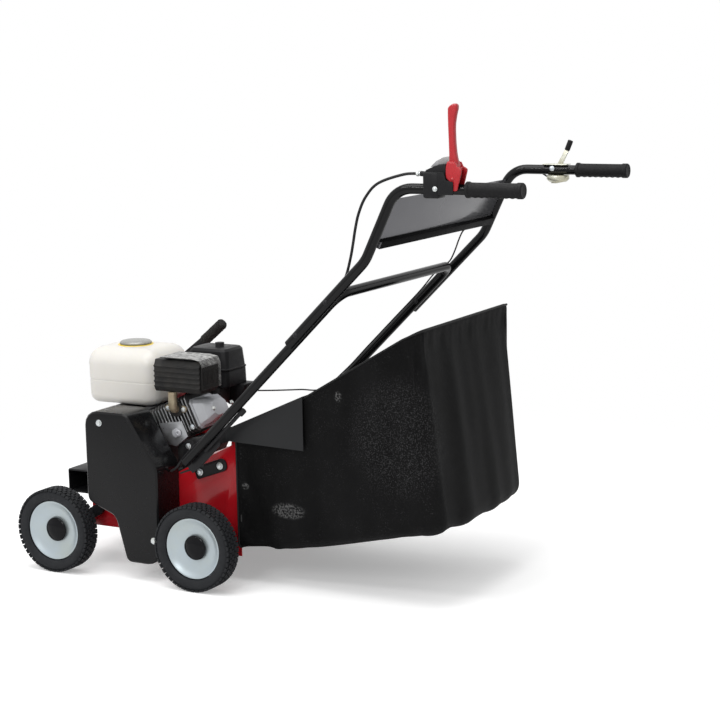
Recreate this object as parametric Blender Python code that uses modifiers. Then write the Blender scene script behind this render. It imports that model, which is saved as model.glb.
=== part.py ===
"""Petrol lawn aerator: a knife rotor in a sheet steel deck on four wheels, a small engine with a
belt drive, a bent tube handle with its levers, and a fabric collecting bag behind.

Metres. X runs to the rear, Y to the machine's right and Z up. Lengths along X count from the rear
axle: all pieces hang from one empty that stands on the ground below it."""

import bpy
import bmesh
import math
from mathutils import Matrix, Vector

NAME = "lawn_aerator"
CLEAR = 0.0003

# Wheels and axles
WHEELBASE = 0.391
WHEEL_RADIUS = 0.100
WHEEL_Y = 0.289
TYRE_WIDTH = 0.050
LUG_COUNT = 20
LUG_HEIGHT = 0.004
DISC_RADIUS = 0.0705
DISC_DISH = 0.013
DISC_SHEET = 0.003
HUB_RADIUS = 0.017
CAP_RADIUS = 0.0285
CAP_HEIGHT = 0.012
AXLE_RADIUS = 0.008
CRANK_ARM_X = 0.061
CRANK_ARM_Z = 0.035
CRANK_SHAFT_RADIUS = 0.008

# Deck
DECK_HALF = 0.195
SHEET = 0.003
DECK_SETBACK = 0.036
DECK_FRONT = -WHEELBASE + DECK_SETBACK
DECK_KNEE = -0.160
DECK_REAR = 0.061
DECK_TOP = 0.215
DECK_REAR_TOP = 0.3285
SKIRT_FRONT_Z = 0.092
SKIRT_REAR_Z = 0.062
BEAM_DEPTH = 0.070
BEAM_HEIGHT = 0.058
BEAM_TOP = 0.223

# Rotor and belt drive
ROTOR_X = -0.160
ROTOR_Z = 0.100
SHAFT_RADIUS = 0.010
KNIFE_COUNT = 12
KNIFE_PITCH = 0.028
KNIFE_SHEET = 0.004
KNIFE_TIP = 0.088
SLEEVE_RADIUS = 0.018
BEARING_RADIUS = 0.031
BEARING_DEPTH = 0.016
BELT_OUT = 0.040
BELT_Y = -(DECK_HALF + BELT_OUT)
BELT_WIDTH = 0.010
BELT_HEIGHT = 0.008
ROTOR_GROOVE = 0.031
ENGINE_GROOVE = 0.027
PULLEY_WIDTH = 0.016
GROOVE_DEPTH = 0.009
COVER_DEPTH = 0.090
COVER_FACE_Y = -(DECK_HALF + COVER_DEPTH)
COVER_SHEET = 0.0025
IDLER_RADIUS = 0.018
IDLER_PIVOT_X = -0.130
IDLER_PIVOT_Z = 0.165
IDLER_REST_SWING = math.radians(10)
ARM_SHEET = 0.004

# Engine
CRANK_X = -0.245
CRANK_HEIGHT = 0.105
CYLINDER_TILT = math.radians(25)
BLOCK_NEAR_Y = -0.172
BLOCK_FAR_Y = -0.022
FIN_COUNT = 13
FIN_PITCH = 0.009
FIN_SHEET = 0.003
TANK_BASE = 0.378
TANK_HEIGHT = 0.134
TANK_LENGTH = 0.203
TANK_WIDTH = 0.168
FUEL_CAP_RADIUS = 0.039

# Handle
TUBE_RADIUS = 0.011
HANDLE_Y = 0.297
GRIP_START = 0.687
GRIP_END = 0.811
GRIP_RADIUS = 0.0165
GRIP_Z = 0.923
UPPER_BEND_X = 0.525
LOWER_BEND_X = 0.452
LOWER_BEND_Z = 0.770
HANDLE_SLOPE = math.radians(44.8)
OVERLAP_END_X = 0.262
LEG_FOOT_X = -0.031
CROSSBAR_X = 0.376
PANEL_BOTTOM = 0.800
PANEL_TOP = 0.900

# Bag and hood
BAG_MOUTH_X = 0.0616
BAG_MOUTH_HALF = 0.208
BAG_REAR_HALF = 0.245
BAG_MOUTH_TOP = 0.343
BAG_MOUTH_BASE = 0.081
BAG_REAR_TOP_X = 0.548
BAG_REAR_TOP_Z = 0.619
BAG_SIDE_TOP_Z = 0.601
BAG_REAR_BASE_X = 0.592
BAG_REAR_BASE_Z = 0.170
BAG_CLOTH = 0.002
BAG_ROD = 0.004
BAG_RIM_CORNER = 0.009
BAG_TOP_BEND = 0.040
BAG_LOW_BEND = 0.058
BAG_SWELL = 0.018
HOOD_HINGE_X = 0.046
HOOD_HINGE_Z = 0.347
HOOD_LENGTH = 0.205
HOOD_RISE = 0.0178
HOOD_SLOPE = math.radians(24.3)
HOOD_SHEET = 0.002
HOOD_HALF = 0.2305
HINGE_ROD = 0.004

# Colours
BLACK_PAINT = (0.012, 0.012, 0.013)
RED_PAINT = (0.33, 0.008, 0.012)
RUBBER = (0.012, 0.012, 0.013)
ZINC = (0.55, 0.58, 0.60)
STEEL = (0.35, 0.35, 0.36)
ALLOY = (0.50, 0.51, 0.53)
BLACK_PLASTIC = (0.010, 0.010, 0.011)
TANK_WHITE = (0.62, 0.60, 0.56)
CLOTH = (0.008, 0.008, 0.009)

AXLE_Z = WHEEL_RADIUS
CRANK_Z = DECK_TOP + CRANK_HEIGHT
ORIGIN_X = (WHEELBASE + WHEEL_RADIUS - GRIP_END) / 2
LEG_Y = HANDLE_Y - 2 * TUBE_RADIUS - CLEAR


def collection(name):
    """A new collection in the scene."""
    made = bpy.data.collections.new(name)
    bpy.context.scene.collection.children.link(made)
    return made


def empty(name, location, parent=None):
    """An empty that carries pieces; a moving group's empty stands on its joint axis."""
    made = bpy.data.objects.new(name, None)
    made.location = location
    made.parent = parent
    bpy.data.collections[NAME].objects.link(made)
    return made


def material(name, colour, roughness, metallic):
    """A Principled material with a plain colour."""
    made = bpy.data.materials.new(name)
    made.use_nodes = True
    shader = made.node_tree.nodes["Principled BSDF"]
    shader.inputs["Base Color"].default_value = (*colour, 1.0)
    shader.inputs["Roughness"].default_value = roughness
    shader.inputs["Metallic"].default_value = metallic
    made.diffuse_color = (*colour, 1.0)
    return made


def add_part(obj, colour, roughness=0.5, metallic=0.0, pivot=None):
    """Links a finished piece and hangs it from the machine's empty, or from its joint's empty."""
    bpy.data.collections[NAME].objects.link(obj)
    obj.data.materials.append(material(obj.name, colour, roughness, metallic))
    hang(obj, pivot)
    return obj


def hang(obj, pivot=None):
    """Parents an object that is placed in machine lengths to an empty, without moving it."""
    base = bpy.data.objects["ground_below_rear_axle"]
    obj.parent = pivot or base
    if pivot:
        obj.matrix_parent_inverse = Matrix.Translation(-pivot.location)


def add_tool(obj):
    """Links an object that cuts or joins another, and isn't a piece."""
    bpy.data.collections["cutters"].objects.link(obj)
    obj.hide_render = True
    obj.display_type = "WIRE"
    hang(obj)
    return obj


def boolean(obj, tool, operation):
    """Adds one Boolean modifier with the exact solver."""
    if tool.name not in bpy.data.collections["cutters"].objects:
        add_tool(tool)
    step = obj.modifiers.new(tool.name, "BOOLEAN")
    step.operation = operation
    step.solver = "EXACT"
    step.object = tool
    return obj


def cut(obj, tool):
    return boolean(obj, tool, "DIFFERENCE")


def join(obj, tool):
    return boolean(obj, tool, "UNION")


def mesh_object(name, bm, smooth=False):
    """An object from a bmesh, with its faces turned outwards."""
    bmesh.ops.recalc_face_normals(bm, faces=bm.faces)
    mesh = bpy.data.meshes.new(name)
    bm.to_mesh(mesh)
    bm.free()
    if smooth:
        mesh.shade_smooth()
        mesh.set_sharp_from_angle(angle=math.radians(40))
    return bpy.data.objects.new(name, mesh)


def box(name, low, high, bevel=0.0, segments=1):
    """A box between two corners, with rounded edges where a bevel is given."""
    low = Vector(low)
    high = Vector(high)
    bm = bmesh.new()
    bmesh.ops.create_cube(bm, size=1.0)
    bmesh.ops.scale(bm, vec=high - low, verts=bm.verts)
    obj = mesh_object(name, bm)
    obj.location = (low + high) / 2
    if bevel:
        step = obj.modifiers.new("rounded_edges", "BEVEL")
        step.width = bevel
        step.segments = segments
        step.limit_method = "ANGLE"
    return obj


def rod(name, radius, start, end, sides=16):
    """A straight round bar between two points."""
    start = Vector(start)
    end = Vector(end)
    bm = bmesh.new()
    bmesh.ops.create_cone(bm, cap_ends=True, segments=sides, radius1=radius, radius2=radius,
                          depth=(end - start).length)
    obj = mesh_object(name, bm, smooth=True)
    obj.rotation_euler = (end - start).to_track_quat("Z", "Y").to_euler()
    obj.location = (start + end) / 2
    return obj


def turned(name, profile, steps, ring=False):
    """A profile of (radius, height) points turned about Z. The points run down the outer side."""
    bm = bmesh.new()
    points = [bm.verts.new((radius, 0, height)) for radius, height in profile]
    for first, second in zip(points, points[1:]):
        bm.edges.new((first, second))
    if ring:
        bm.edges.new((points[-1], points[0]))
    mesh = bpy.data.meshes.new(name)
    bm.to_mesh(mesh)
    bm.free()
    obj = bpy.data.objects.new(name, mesh)
    step = obj.modifiers.new("turn", "SCREW")
    step.angle = 2 * math.pi
    step.steps = steps
    step.render_steps = steps
    step.use_merge_vertices = True
    step.merge_threshold = 0.00001
    step.use_smooth_shade = True
    return obj


def on_axis(obj, x, y, z, side=-1):
    """Turns an object so that its own Z runs out along Y, to the left for side -1."""
    obj.rotation_euler = (-side * math.pi / 2, 0, 0)
    obj.location = (x, y, z)
    return obj


def curve_object(name, loops, cyclic, dimensions):
    """A curve object with one straight-segment spline for each list of points."""
    data = bpy.data.curves.new(name, "CURVE")
    data.dimensions = dimensions
    for loop in loops:
        spline = data.splines.new("POLY")
        spline.points.add(len(loop) - 1)
        for point, place in zip(spline.points, loop):
            point.co = (*place, 1.0)
        spline.use_cyclic_u = cyclic
        spline.use_smooth = True
    return bpy.data.objects.new(name, data)


def tube(name, points, radius, resolution=3, cyclic=False):
    """A round tube or wire along a line of points."""
    obj = curve_object(name, [points], cyclic, "3D")
    obj.data.bevel_depth = radius
    obj.data.bevel_resolution = resolution
    obj.data.use_fill_caps = not cyclic
    return obj


def plate(name, loops, thickness, y):
    """A flat plate in a plane across Y. The first loop of (x, z) is its edge, the others holes."""
    obj = curve_object(name, [[(u, v, 0) for u, v in loop] for loop in loops], True, "2D")
    obj.data.fill_mode = "BOTH"
    obj.data.extrude = thickness / 2
    obj.rotation_euler = (math.pi / 2, 0, 0)
    obj.location = (0, y, 0)
    return obj


def bar(name, loops, x_start, x_end):
    """A section of (y, z) points drawn out along X."""
    obj = curve_object(name, [[(u, v, 0) for u, v in loop] for loop in loops], True, "2D")
    obj.data.fill_mode = "BOTH"
    obj.data.extrude = abs(x_end - x_start) / 2
    obj.rotation_euler = (math.pi / 2, 0, math.pi / 2)
    obj.location = ((x_start + x_end) / 2, 0, 0)
    return obj


def as_mesh(obj):
    """Turns a curve object into a mesh with its caps welded, so that it can be cut or joined."""
    for home in (bpy.data.collections[NAME], bpy.data.collections["cutters"]):
        if obj.name in home.objects:
            raise ValueError(obj.name)
    scene = bpy.context.scene.collection
    scene.objects.link(obj)
    bpy.context.view_layer.update()
    seen = obj.evaluated_get(bpy.context.evaluated_depsgraph_get())
    mesh = bpy.data.meshes.new_from_object(seen)
    bm = bmesh.new()
    bm.from_mesh(mesh)
    bmesh.ops.remove_doubles(bm, verts=bm.verts, dist=0.000001)
    bmesh.ops.recalc_face_normals(bm, faces=bm.faces)
    bm.to_mesh(mesh)
    bm.free()
    name = obj.name
    made = bpy.data.objects.new(name + "_solid", mesh)
    made.matrix_world = obj.matrix_world
    bpy.data.objects.remove(obj, do_unlink=True)
    made.name = name
    return made


def loft(name, rings, bore=False):
    """A closed skin over rings of points, with flat ends, or joined end to end for a bored body."""
    bm = bmesh.new()
    rows = [[bm.verts.new(point) for point in ring] for ring in rings]
    pairs = list(zip(rows, rows[1:]))
    if bore:
        pairs.append((rows[-1], rows[0]))
    else:
        bm.faces.new(rows[0])
        bm.faces.new(reversed(rows[-1]))
    count = len(rings[0])
    for low, high in pairs:
        for i in range(count):
            j = (i + 1) % count
            bm.faces.new((low[i], low[j], high[j], high[i]))
    return mesh_object(name, bm, smooth=True)


def arc(centre, radius, start, end, steps):
    """Points along an arc in a plane, ends included. Angles are in radians."""
    points = []
    for i in range(steps + 1):
        angle = start + (end - start) * i / steps
        points.append((centre[0] + radius * math.cos(angle), centre[1] + radius * math.sin(angle)))
    return points


def rounded(corners, steps=4):
    """A closed outline through corners (u, v, radius), each rounded to its radius."""
    points = []
    count = len(corners)
    for i in range(count):
        u, v, radius = corners[i]
        here = Vector((u, v))
        if radius == 0:
            points.append((u, v))
            continue
        back = (Vector(corners[i - 1][:2]) - here).normalized()
        ahead = (Vector(corners[(i + 1) % count][:2]) - here).normalized()
        half = back.angle(ahead) / 2
        reach = radius / math.tan(half)
        centre = here + (back + ahead).normalized() * radius / math.sin(half)
        start = here + back * reach - centre
        turn = start.angle_signed(here + ahead * reach - centre)
        for k in range(steps + 1):
            spoke = Matrix.Rotation(-turn * k / steps, 2) @ start
            points.append(tuple(centre + spoke))
    return points


def bent(points, radii, steps=5):
    """A line in space whose inner corners are bent to the given radii."""
    places = [Vector(point) for point in points]
    line = [places[0]]
    for i, radius in enumerate(radii, start=1):
        here = places[i]
        back = (places[i - 1] - here).normalized()
        ahead = (places[i + 1] - here).normalized()
        half = back.angle(ahead) / 2
        centre = here + (back + ahead).normalized() * radius / math.sin(half)
        start = here + back * radius / math.tan(half) - centre
        axis = back.cross(ahead)
        for k in range(steps + 1):
            turn = -(math.pi - 2 * half) * k / steps
            line.append(centre + Matrix.Rotation(turn, 3, axis) @ start)
    line.append(places[-1])
    return line


def smooth_line(points, spacing):
    """Points at even steps along a smooth curve through the given ones."""
    places = [Vector(point) for point in points]
    padded = [2 * places[0] - places[1], *places, 2 * places[-1] - places[-2]]
    line = []
    for before, start, end, after in zip(padded, padded[1:], padded[2:], padded[3:]):
        count = max(1, round((end - start).length / spacing))
        for k in range(count):
            t = k / count
            line.append(0.5 * (2 * start + (end - before) * t
                               + (2 * before - 5 * start + 4 * end - after) * t ** 2
                               + (3 * start - before - 3 * end + after) * t ** 3))
    line.append(places[-1])
    return line


def rounded_ring(half_x, half_y, corner, centre, height, steps=3):
    """A rounded rectangle of points at one height, for a loft along Z."""
    corners = [(half_x, half_y), (-half_x, half_y), (-half_x, -half_y), (half_x, -half_y)]
    outline = rounded([(u, v, corner) for u, v in corners], steps)
    return [(centre[0] + u, centre[1] + v, height) for u, v in outline]


def wheel(end, x, side, pivot):
    """A wheel disc, its lugged tyre and the cap over the axle end."""
    word = "left" if side < 0 else "right"
    half = TYRE_WIDTH / 2
    rim = half - 0.009
    face = rim - DISC_DISH
    bore = AXLE_RADIUS + CLEAR
    disc = turned(f"{end}_disc_{word}", [
        (bore, face - 0.002),
        (HUB_RADIUS, face - 0.002),
        (DISC_RADIUS - 0.002, rim),
        (DISC_RADIUS, rim),
        (DISC_RADIUS, -rim),
        (DISC_RADIUS - DISC_SHEET, -rim),
        (DISC_RADIUS - DISC_SHEET, rim - 0.006),
        (HUB_RADIUS, face - 0.006),
        (HUB_RADIUS, -half),
        (bore, -half),
    ], 20, ring=True)
    on_axis(disc, x, side * WHEEL_Y, AXLE_Z, side)
    add_part(disc, ZINC, 0.35, 0.8, pivot)

    tyre = tyre_mesh(f"{end}_tyre_{word}", half)
    on_axis(tyre, x, side * WHEEL_Y, AXLE_Z, side)
    add_part(tyre, RUBBER, 0.85, 0.0, pivot)

    seat = face - 0.002 + CLEAR
    cap = turned(f"{end}_hub_cap_{word}", [
        (0, seat + CAP_HEIGHT),
        (CAP_RADIUS * 0.62, seat + CAP_HEIGHT * 0.85),
        (CAP_RADIUS, seat + CAP_HEIGHT * 0.45),
        (CAP_RADIUS, seat + 0.0035),
        (0, seat + 0.0035),
    ], 20)
    on_axis(cap, x, side * WHEEL_Y, AXLE_Z, side)
    add_part(cap, BLACK_PLASTIC, 0.25, 0.0, pivot)


def tyre_mesh(name, half):
    """A tyre turned about Z, whose tread rises in bars. One bar stands flat on the ground."""
    steps = 2 * LUG_COUNT
    bead = DISC_RADIUS + CLEAR
    bar_radius = WHEEL_RADIUS / math.cos(math.pi / steps)
    shoulder = bar_radius - LUG_HEIGHT
    bead_clear = bead / math.cos(math.pi / 20)
    bm = bmesh.new()
    columns = []
    for i in range(steps):
        angle = -math.pi / 2 + math.pi / steps + 2 * math.pi * i / steps
        columns.append((math.cos(angle), math.sin(angle)))

    def ring(radius, height):
        return [bm.verts.new((c * radius, s * radius, height)) for c, s in columns]

    inner_top = ring(bead_clear, half - 0.007)
    wall_top = ring(bead + 0.012, half)
    edge_top = ring(shoulder, half - 0.003)
    edge_low = ring(shoulder, -half + 0.003)
    wall_low = ring(bead + 0.012, -half)
    inner_low = ring(bead_clear, -half + 0.007)
    for high, low in ((inner_top, wall_top), (wall_top, edge_top), (edge_low, wall_low),
                      (wall_low, inner_low), (inner_low, inner_top)):
        for i in range(steps):
            j = (i + 1) % steps
            bm.faces.new((high[i], high[j], low[j], low[i]))
    tread_width = half - 0.006
    for i in range(steps):
        j = (i + 1) % steps
        band = bm.faces.new((edge_top[i], edge_top[j], edge_low[j], edge_low[i]))
        if i % 2 == 0:
            continue
        raised = bmesh.ops.extrude_discrete_faces(bm, faces=[band])["faces"][0]
        for vert, (column, height) in zip(raised.verts, (
                (i, tread_width), (j, tread_width), (j, -tread_width), (i, -tread_width))):
            c, s = columns[column]
            vert.co = (c * bar_radius, s * bar_radius, height)
    return mesh_object(name, bm, smooth=False)


def axles():
    """The fixed rear axle and the cranked front axle that sets the working depth."""
    reach = WHEEL_Y + TYRE_WIDTH / 2 - 0.009 - DISC_DISH - 0.002 - CLEAR
    rear = rod("rear_axle", AXLE_RADIUS, (0, -reach, AXLE_Z), (0, reach, AXLE_Z))
    for side in (-1, 1):
        inner = DECK_HALF + CLEAR
        collar = rod(f"rear_collar_{side}", AXLE_RADIUS + 0.004,
                     (0, side * inner, AXLE_Z), (0, side * (WHEEL_Y - TYRE_WIDTH / 2 - CLEAR), AXLE_Z))
        join(rear, collar)
    add_part(rear, STEEL, 0.4, 0.9)
    wheel("rear", 0, -1, empty("rear_left_spin", (0, -WHEEL_Y, AXLE_Z), base()))
    wheel("rear", 0, 1, empty("rear_right_spin", (0, WHEEL_Y, AXLE_Z), base()))

    shaft_x = -WHEELBASE + CRANK_ARM_X
    shaft_z = AXLE_Z + CRANK_ARM_Z
    pivot = empty("front_axle_pivot", (shaft_x, 0, shaft_z), base())
    arm_in = DECK_HALF + 0.006
    arm_out = arm_in + 0.010
    front = rod("front_axle", CRANK_SHAFT_RADIUS, (shaft_x, -arm_out + 0.001, shaft_z),
                (shaft_x, arm_out + 0.016, shaft_z))
    for side in (-1, 1):
        arm = as_mesh(plate(f"crank_arm_{side}", [rounded_link(
            (shaft_x, shaft_z), 0.013, (-WHEELBASE, AXLE_Z), 0.013)],
            arm_out - arm_in, side * (arm_in + arm_out) / 2))
        join(front, arm)
        stub = rod(f"stub_axle_{side}", AXLE_RADIUS, (-WHEELBASE, side * (arm_in + 0.002), AXLE_Z),
                   (-WHEELBASE, side * reach, AXLE_Z))
        join(front, stub)
    add_part(front, BLACK_PAINT, 0.4, 0.3, pivot)
    for side, word in ((-1, "left"), (1, "right")):
        spin = empty(f"front_{word}_spin", (-WHEELBASE, side * WHEEL_Y, AXLE_Z), base())
        wheel("front", -WHEELBASE, side, spin)
    depth_lever(shaft_x, shaft_z, pivot)


def rounded_link(start, start_radius, end, end_radius, steps=6):
    """The outline of a link with a round eye at each end."""
    run = Vector(end) - Vector(start)
    heading = math.atan2(run[1], run[0])
    lean = math.asin((start_radius - end_radius) / run.length)
    first = math.pi / 2 - lean
    return (arc(start, start_radius, heading + first, heading + 2 * math.pi - first, steps)
            + arc(end, end_radius, heading - first, heading + first, steps))


def depth_lever(shaft_x, shaft_z, pivot):
    """The lever on the right end of the front axle, its rubber grip and the notched plate."""
    y = DECK_HALF + 0.030
    foot = (shaft_x, shaft_z)
    knee = (shaft_x - 0.024, shaft_z + 0.305)
    tip = (shaft_x + 0.086, shaft_z + 0.389)
    lean = (Vector(tip) - Vector(knee)).normalized()
    side = Vector((-lean[1], lean[0]))
    half = 0.009
    climb = (Vector(knee) - Vector(foot)).normalized()
    left = Vector((-climb[1], climb[0]))
    mitre = (left + side) * half / (1 + left.dot(side))
    lever = plate("depth_lever", [[
        *arc(foot, 0.016, math.radians(175), math.radians(365), 6),
        tuple(Vector(knee) - mitre),
        tuple(Vector(tip) - side * half),
        tuple(Vector(tip) + side * half),
        tuple(Vector(knee) + mitre),
    ], arc(foot, CRANK_SHAFT_RADIUS + CLEAR, 0, 2 * math.pi * 15 / 16, 15)], 0.006, y)
    add_part(lever, BLACK_PAINT, 0.4, 0.2, pivot)
    start = Vector(tip) - lean * 0.070
    end = Vector(tip) + lean * 0.006
    grip = rod("depth_grip", 0.0145, (start[0], y, start[1]), (end[0], y, end[1]), 12)
    slot_end = Vector(tip) + lean * CLEAR
    slot_start = start - lean * 0.010
    slot = as_mesh(plate("depth_grip_slot", [[
        tuple(slot_start - side * (half + CLEAR)),
        tuple(slot_end - side * (half + CLEAR)),
        tuple(slot_end + side * (half + CLEAR)),
        tuple(slot_start + side * (half + CLEAR)),
    ]], 0.006 + 2 * CLEAR, y))
    cut(grip, slot)
    add_part(grip, RUBBER, 0.8, 0.0, pivot)

    notch_radius = 0.095
    quadrant_y = DECK_HALF + CLEAR + 0.002
    arc_low = math.radians(40)
    arc_high = math.radians(112)
    outer = []
    notches = 5
    per_notch = (arc_high - arc_low) / (notches + 1)
    for i in range(notches):
        middle = arc_low + per_notch * (i + 1)
        for turn, radius in ((-0.30, 1.0), (-0.12, 0.90), (0.12, 0.90), (0.30, 1.0)):
            angle = middle + turn * per_notch
            outer.append((foot[0] + notch_radius * radius * math.cos(angle),
                          foot[1] + notch_radius * radius * math.sin(angle)))
    inner = [(foot[0] + 0.020, foot[1] + 0.014), (foot[0] + 0.050, foot[1] + 0.012)]
    quadrant = plate("depth_quadrant", [inner + outer + [(foot[0] - 0.018, foot[1] + 0.070)]],
                     0.004, quadrant_y)
    add_part(quadrant, ZINC, 0.4, 0.8)


def base():
    return bpy.data.objects["ground_below_rear_axle"]


def deck():
    """The red housing: two side plates, a front wall, the engine plate and the sloping chute."""
    inner = DECK_HALF - SHEET / 2
    top = [(DECK_FRONT, SKIRT_FRONT_Z), (DECK_FRONT, DECK_TOP), (DECK_KNEE, DECK_TOP),
           (DECK_REAR, DECK_REAR_TOP)]
    low = [(DECK_REAR, SKIRT_REAR_Z), (ROTOR_X - 0.050, SKIRT_REAR_Z), (ROTOR_X - 0.075, SKIRT_FRONT_Z)]
    bm = bmesh.new()
    sides = {}
    for side in (-1, 1):
        sides[side] = [bm.verts.new((x, side * inner, z)) for x, z in top + low]
        bm.faces.new(sides[side])
    for i in range(len(top) - 1):
        bm.faces.new((sides[-1][i], sides[-1][i + 1], sides[1][i + 1], sides[1][i]))
    obj = mesh_object("deck", bm)
    shell = obj.modifiers.new("sheet", "SOLIDIFY")
    shell.thickness = SHEET
    shell.offset = 0.0
    shell.use_even_offset = True

    ear_low = DECK_REAR_TOP - 0.010
    for side in (-1, 1):
        middle = side * (DECK_HALF - 0.012)
        ear = as_mesh(plate(f"hinge_ear_{side}", [
            [(HOOD_HINGE_X - 0.012, ear_low - 0.010), (HOOD_HINGE_X + 0.010, ear_low)]
            + arc((HOOD_HINGE_X, HOOD_HINGE_Z), 0.008, 0, math.pi, 6)], SHEET, middle))
        join(obj, ear)
    pin = rod("hood_hinge_rod", HINGE_ROD, (HOOD_HINGE_X, -DECK_HALF + 0.010, HOOD_HINGE_Z),
              (HOOD_HINGE_X, DECK_HALF - 0.010, HOOD_HINGE_Z), 12)
    join(obj, pin)

    across = DECK_HALF + 0.05
    holes = {
        "rear_axle_holes": (0, AXLE_Z, AXLE_RADIUS + CLEAR),
        "crank_shaft_holes": (-WHEELBASE + CRANK_ARM_X, AXLE_Z + CRANK_ARM_Z, CRANK_SHAFT_RADIUS + CLEAR),
        "rotor_holes": (ROTOR_X, ROTOR_Z, SHAFT_RADIUS + 0.004),
    }
    for name, (x, z, radius) in holes.items():
        cut(obj, rod(name, radius, (x, -across, z), (x, across, z)))
    add_part(obj, RED_PAINT, 0.35, 0.0)

    beam_rear = DECK_FRONT - SHEET / 2 - CLEAR
    beam = box("front_beam", (beam_rear - BEAM_DEPTH, -DECK_HALF, BEAM_TOP - BEAM_HEIGHT),
               (beam_rear, DECK_HALF, BEAM_TOP), 0.004, 2)
    wall = 0.004
    inside = box("front_beam_bore", (beam_rear - BEAM_DEPTH + wall, -DECK_HALF - 0.01,
                                     BEAM_TOP - BEAM_HEIGHT + wall),
                 (beam_rear - wall, DECK_HALF + 0.01, BEAM_TOP - wall))
    cut(beam, inside)
    add_part(beam, BLACK_PAINT, 0.45, 0.1)


def rotor():
    """The knife rotor on its two bearings, with the pulley that drives it."""
    pivot = empty("rotor_spin", (ROTOR_X, 0, ROTOR_Z), base())
    bearing_out = DECK_HALF + CLEAR + BEARING_DEPTH
    shaft = rod("rotor_shaft", SHAFT_RADIUS, (ROTOR_X, BELT_Y - PULLEY_WIDTH / 2 - 0.006, ROTOR_Z),
                (ROTOR_X, bearing_out + 0.004, ROTOR_Z))
    add_part(shaft, STEEL, 0.35, 0.9, pivot)

    half_span = KNIFE_PITCH * (KNIFE_COUNT - 1) / 2
    sleeve_end = half_span + 0.014
    points = 12
    tips = (KNIFE_TIP, KNIFE_TIP * 0.86, KNIFE_TIP * 0.34, KNIFE_TIP * 0.40)

    def ring(radii, y, turn=0):
        made = []
        for i in range(points):
            angle = 2 * math.pi * i / points
            radius = radii[(i + turn) % len(radii)]
            made.append((ROTOR_X + radius * math.cos(angle), y, ROTOR_Z + radius * math.sin(angle)))
        return made

    sleeve = (SLEEVE_RADIUS,)
    bore = (SHAFT_RADIUS / math.cos(math.pi / points) + CLEAR,)
    rings = [ring(bore, -sleeve_end), ring(sleeve, -sleeve_end)]
    for i in range(KNIFE_COUNT):
        y = -half_span + i * KNIFE_PITCH
        near = y - KNIFE_SHEET / 2
        far = y + KNIFE_SHEET / 2
        rings += [ring(sleeve, near), ring(tips, near, i), ring(tips, far, i), ring(sleeve, far)]
    rings += [ring(sleeve, sleeve_end), ring(bore, sleeve_end)]
    knives = loft("knife_rotor", rings, bore=True)
    add_part(knives, STEEL, 0.5, 0.8, pivot)

    for side, word in ((-1, "left"), (1, "right")):
        hole = SHAFT_RADIUS + CLEAR
        bearing = turned(f"rotor_bearing_{word}", [
            (hole, BEARING_DEPTH),
            (0.019, BEARING_DEPTH),
            (0.022, 0.005),
            (BEARING_RADIUS, 0.004),
            (BEARING_RADIUS, 0.0),
            (hole, 0.0),
        ], 18, ring=True)
        on_axis(bearing, ROTOR_X, side * (DECK_HALF + CLEAR), ROTOR_Z, side)
        add_part(bearing, STEEL, 0.5, 0.8)

    add_part(pulley("rotor_pulley", ROTOR_GROOVE, SHAFT_RADIUS + CLEAR, ROTOR_X, ROTOR_Z),
             STEEL, 0.4, 0.8, pivot)


def pulley(name, groove, bore, x, z):
    """A grooved belt pulley, with a bore for its shaft unless the bore is nought."""
    half = PULLEY_WIDTH / 2
    slot = BELT_WIDTH / 2 + CLEAR
    rim = groove + GROOVE_DEPTH
    made = turned(name, [
        (bore, half),
        (rim, half),
        (rim, slot),
        (groove, slot),
        (groove, -slot),
        (rim, -slot),
        (rim, -half),
        (bore, -half),
    ], 24, ring=bore > 0)
    return on_axis(made, x, BELT_Y, z)


def belt_loop(extra):
    """The belt's line round both pulleys, drawn at a height above the grooves."""
    start = Vector((CRANK_X, CRANK_Z))
    end = Vector((ROTOR_X, ROTOR_Z))
    run = end - start
    heading = math.atan2(run[1], run[0])
    lean = math.acos((ENGINE_GROOVE - ROTOR_GROOVE) / run.length)
    return (arc(start, ENGINE_GROOVE + extra, heading + lean, heading + 2 * math.pi - lean, 16)
            + arc(end, ROTOR_GROOVE + extra, heading - lean, heading + lean, 16))


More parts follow.
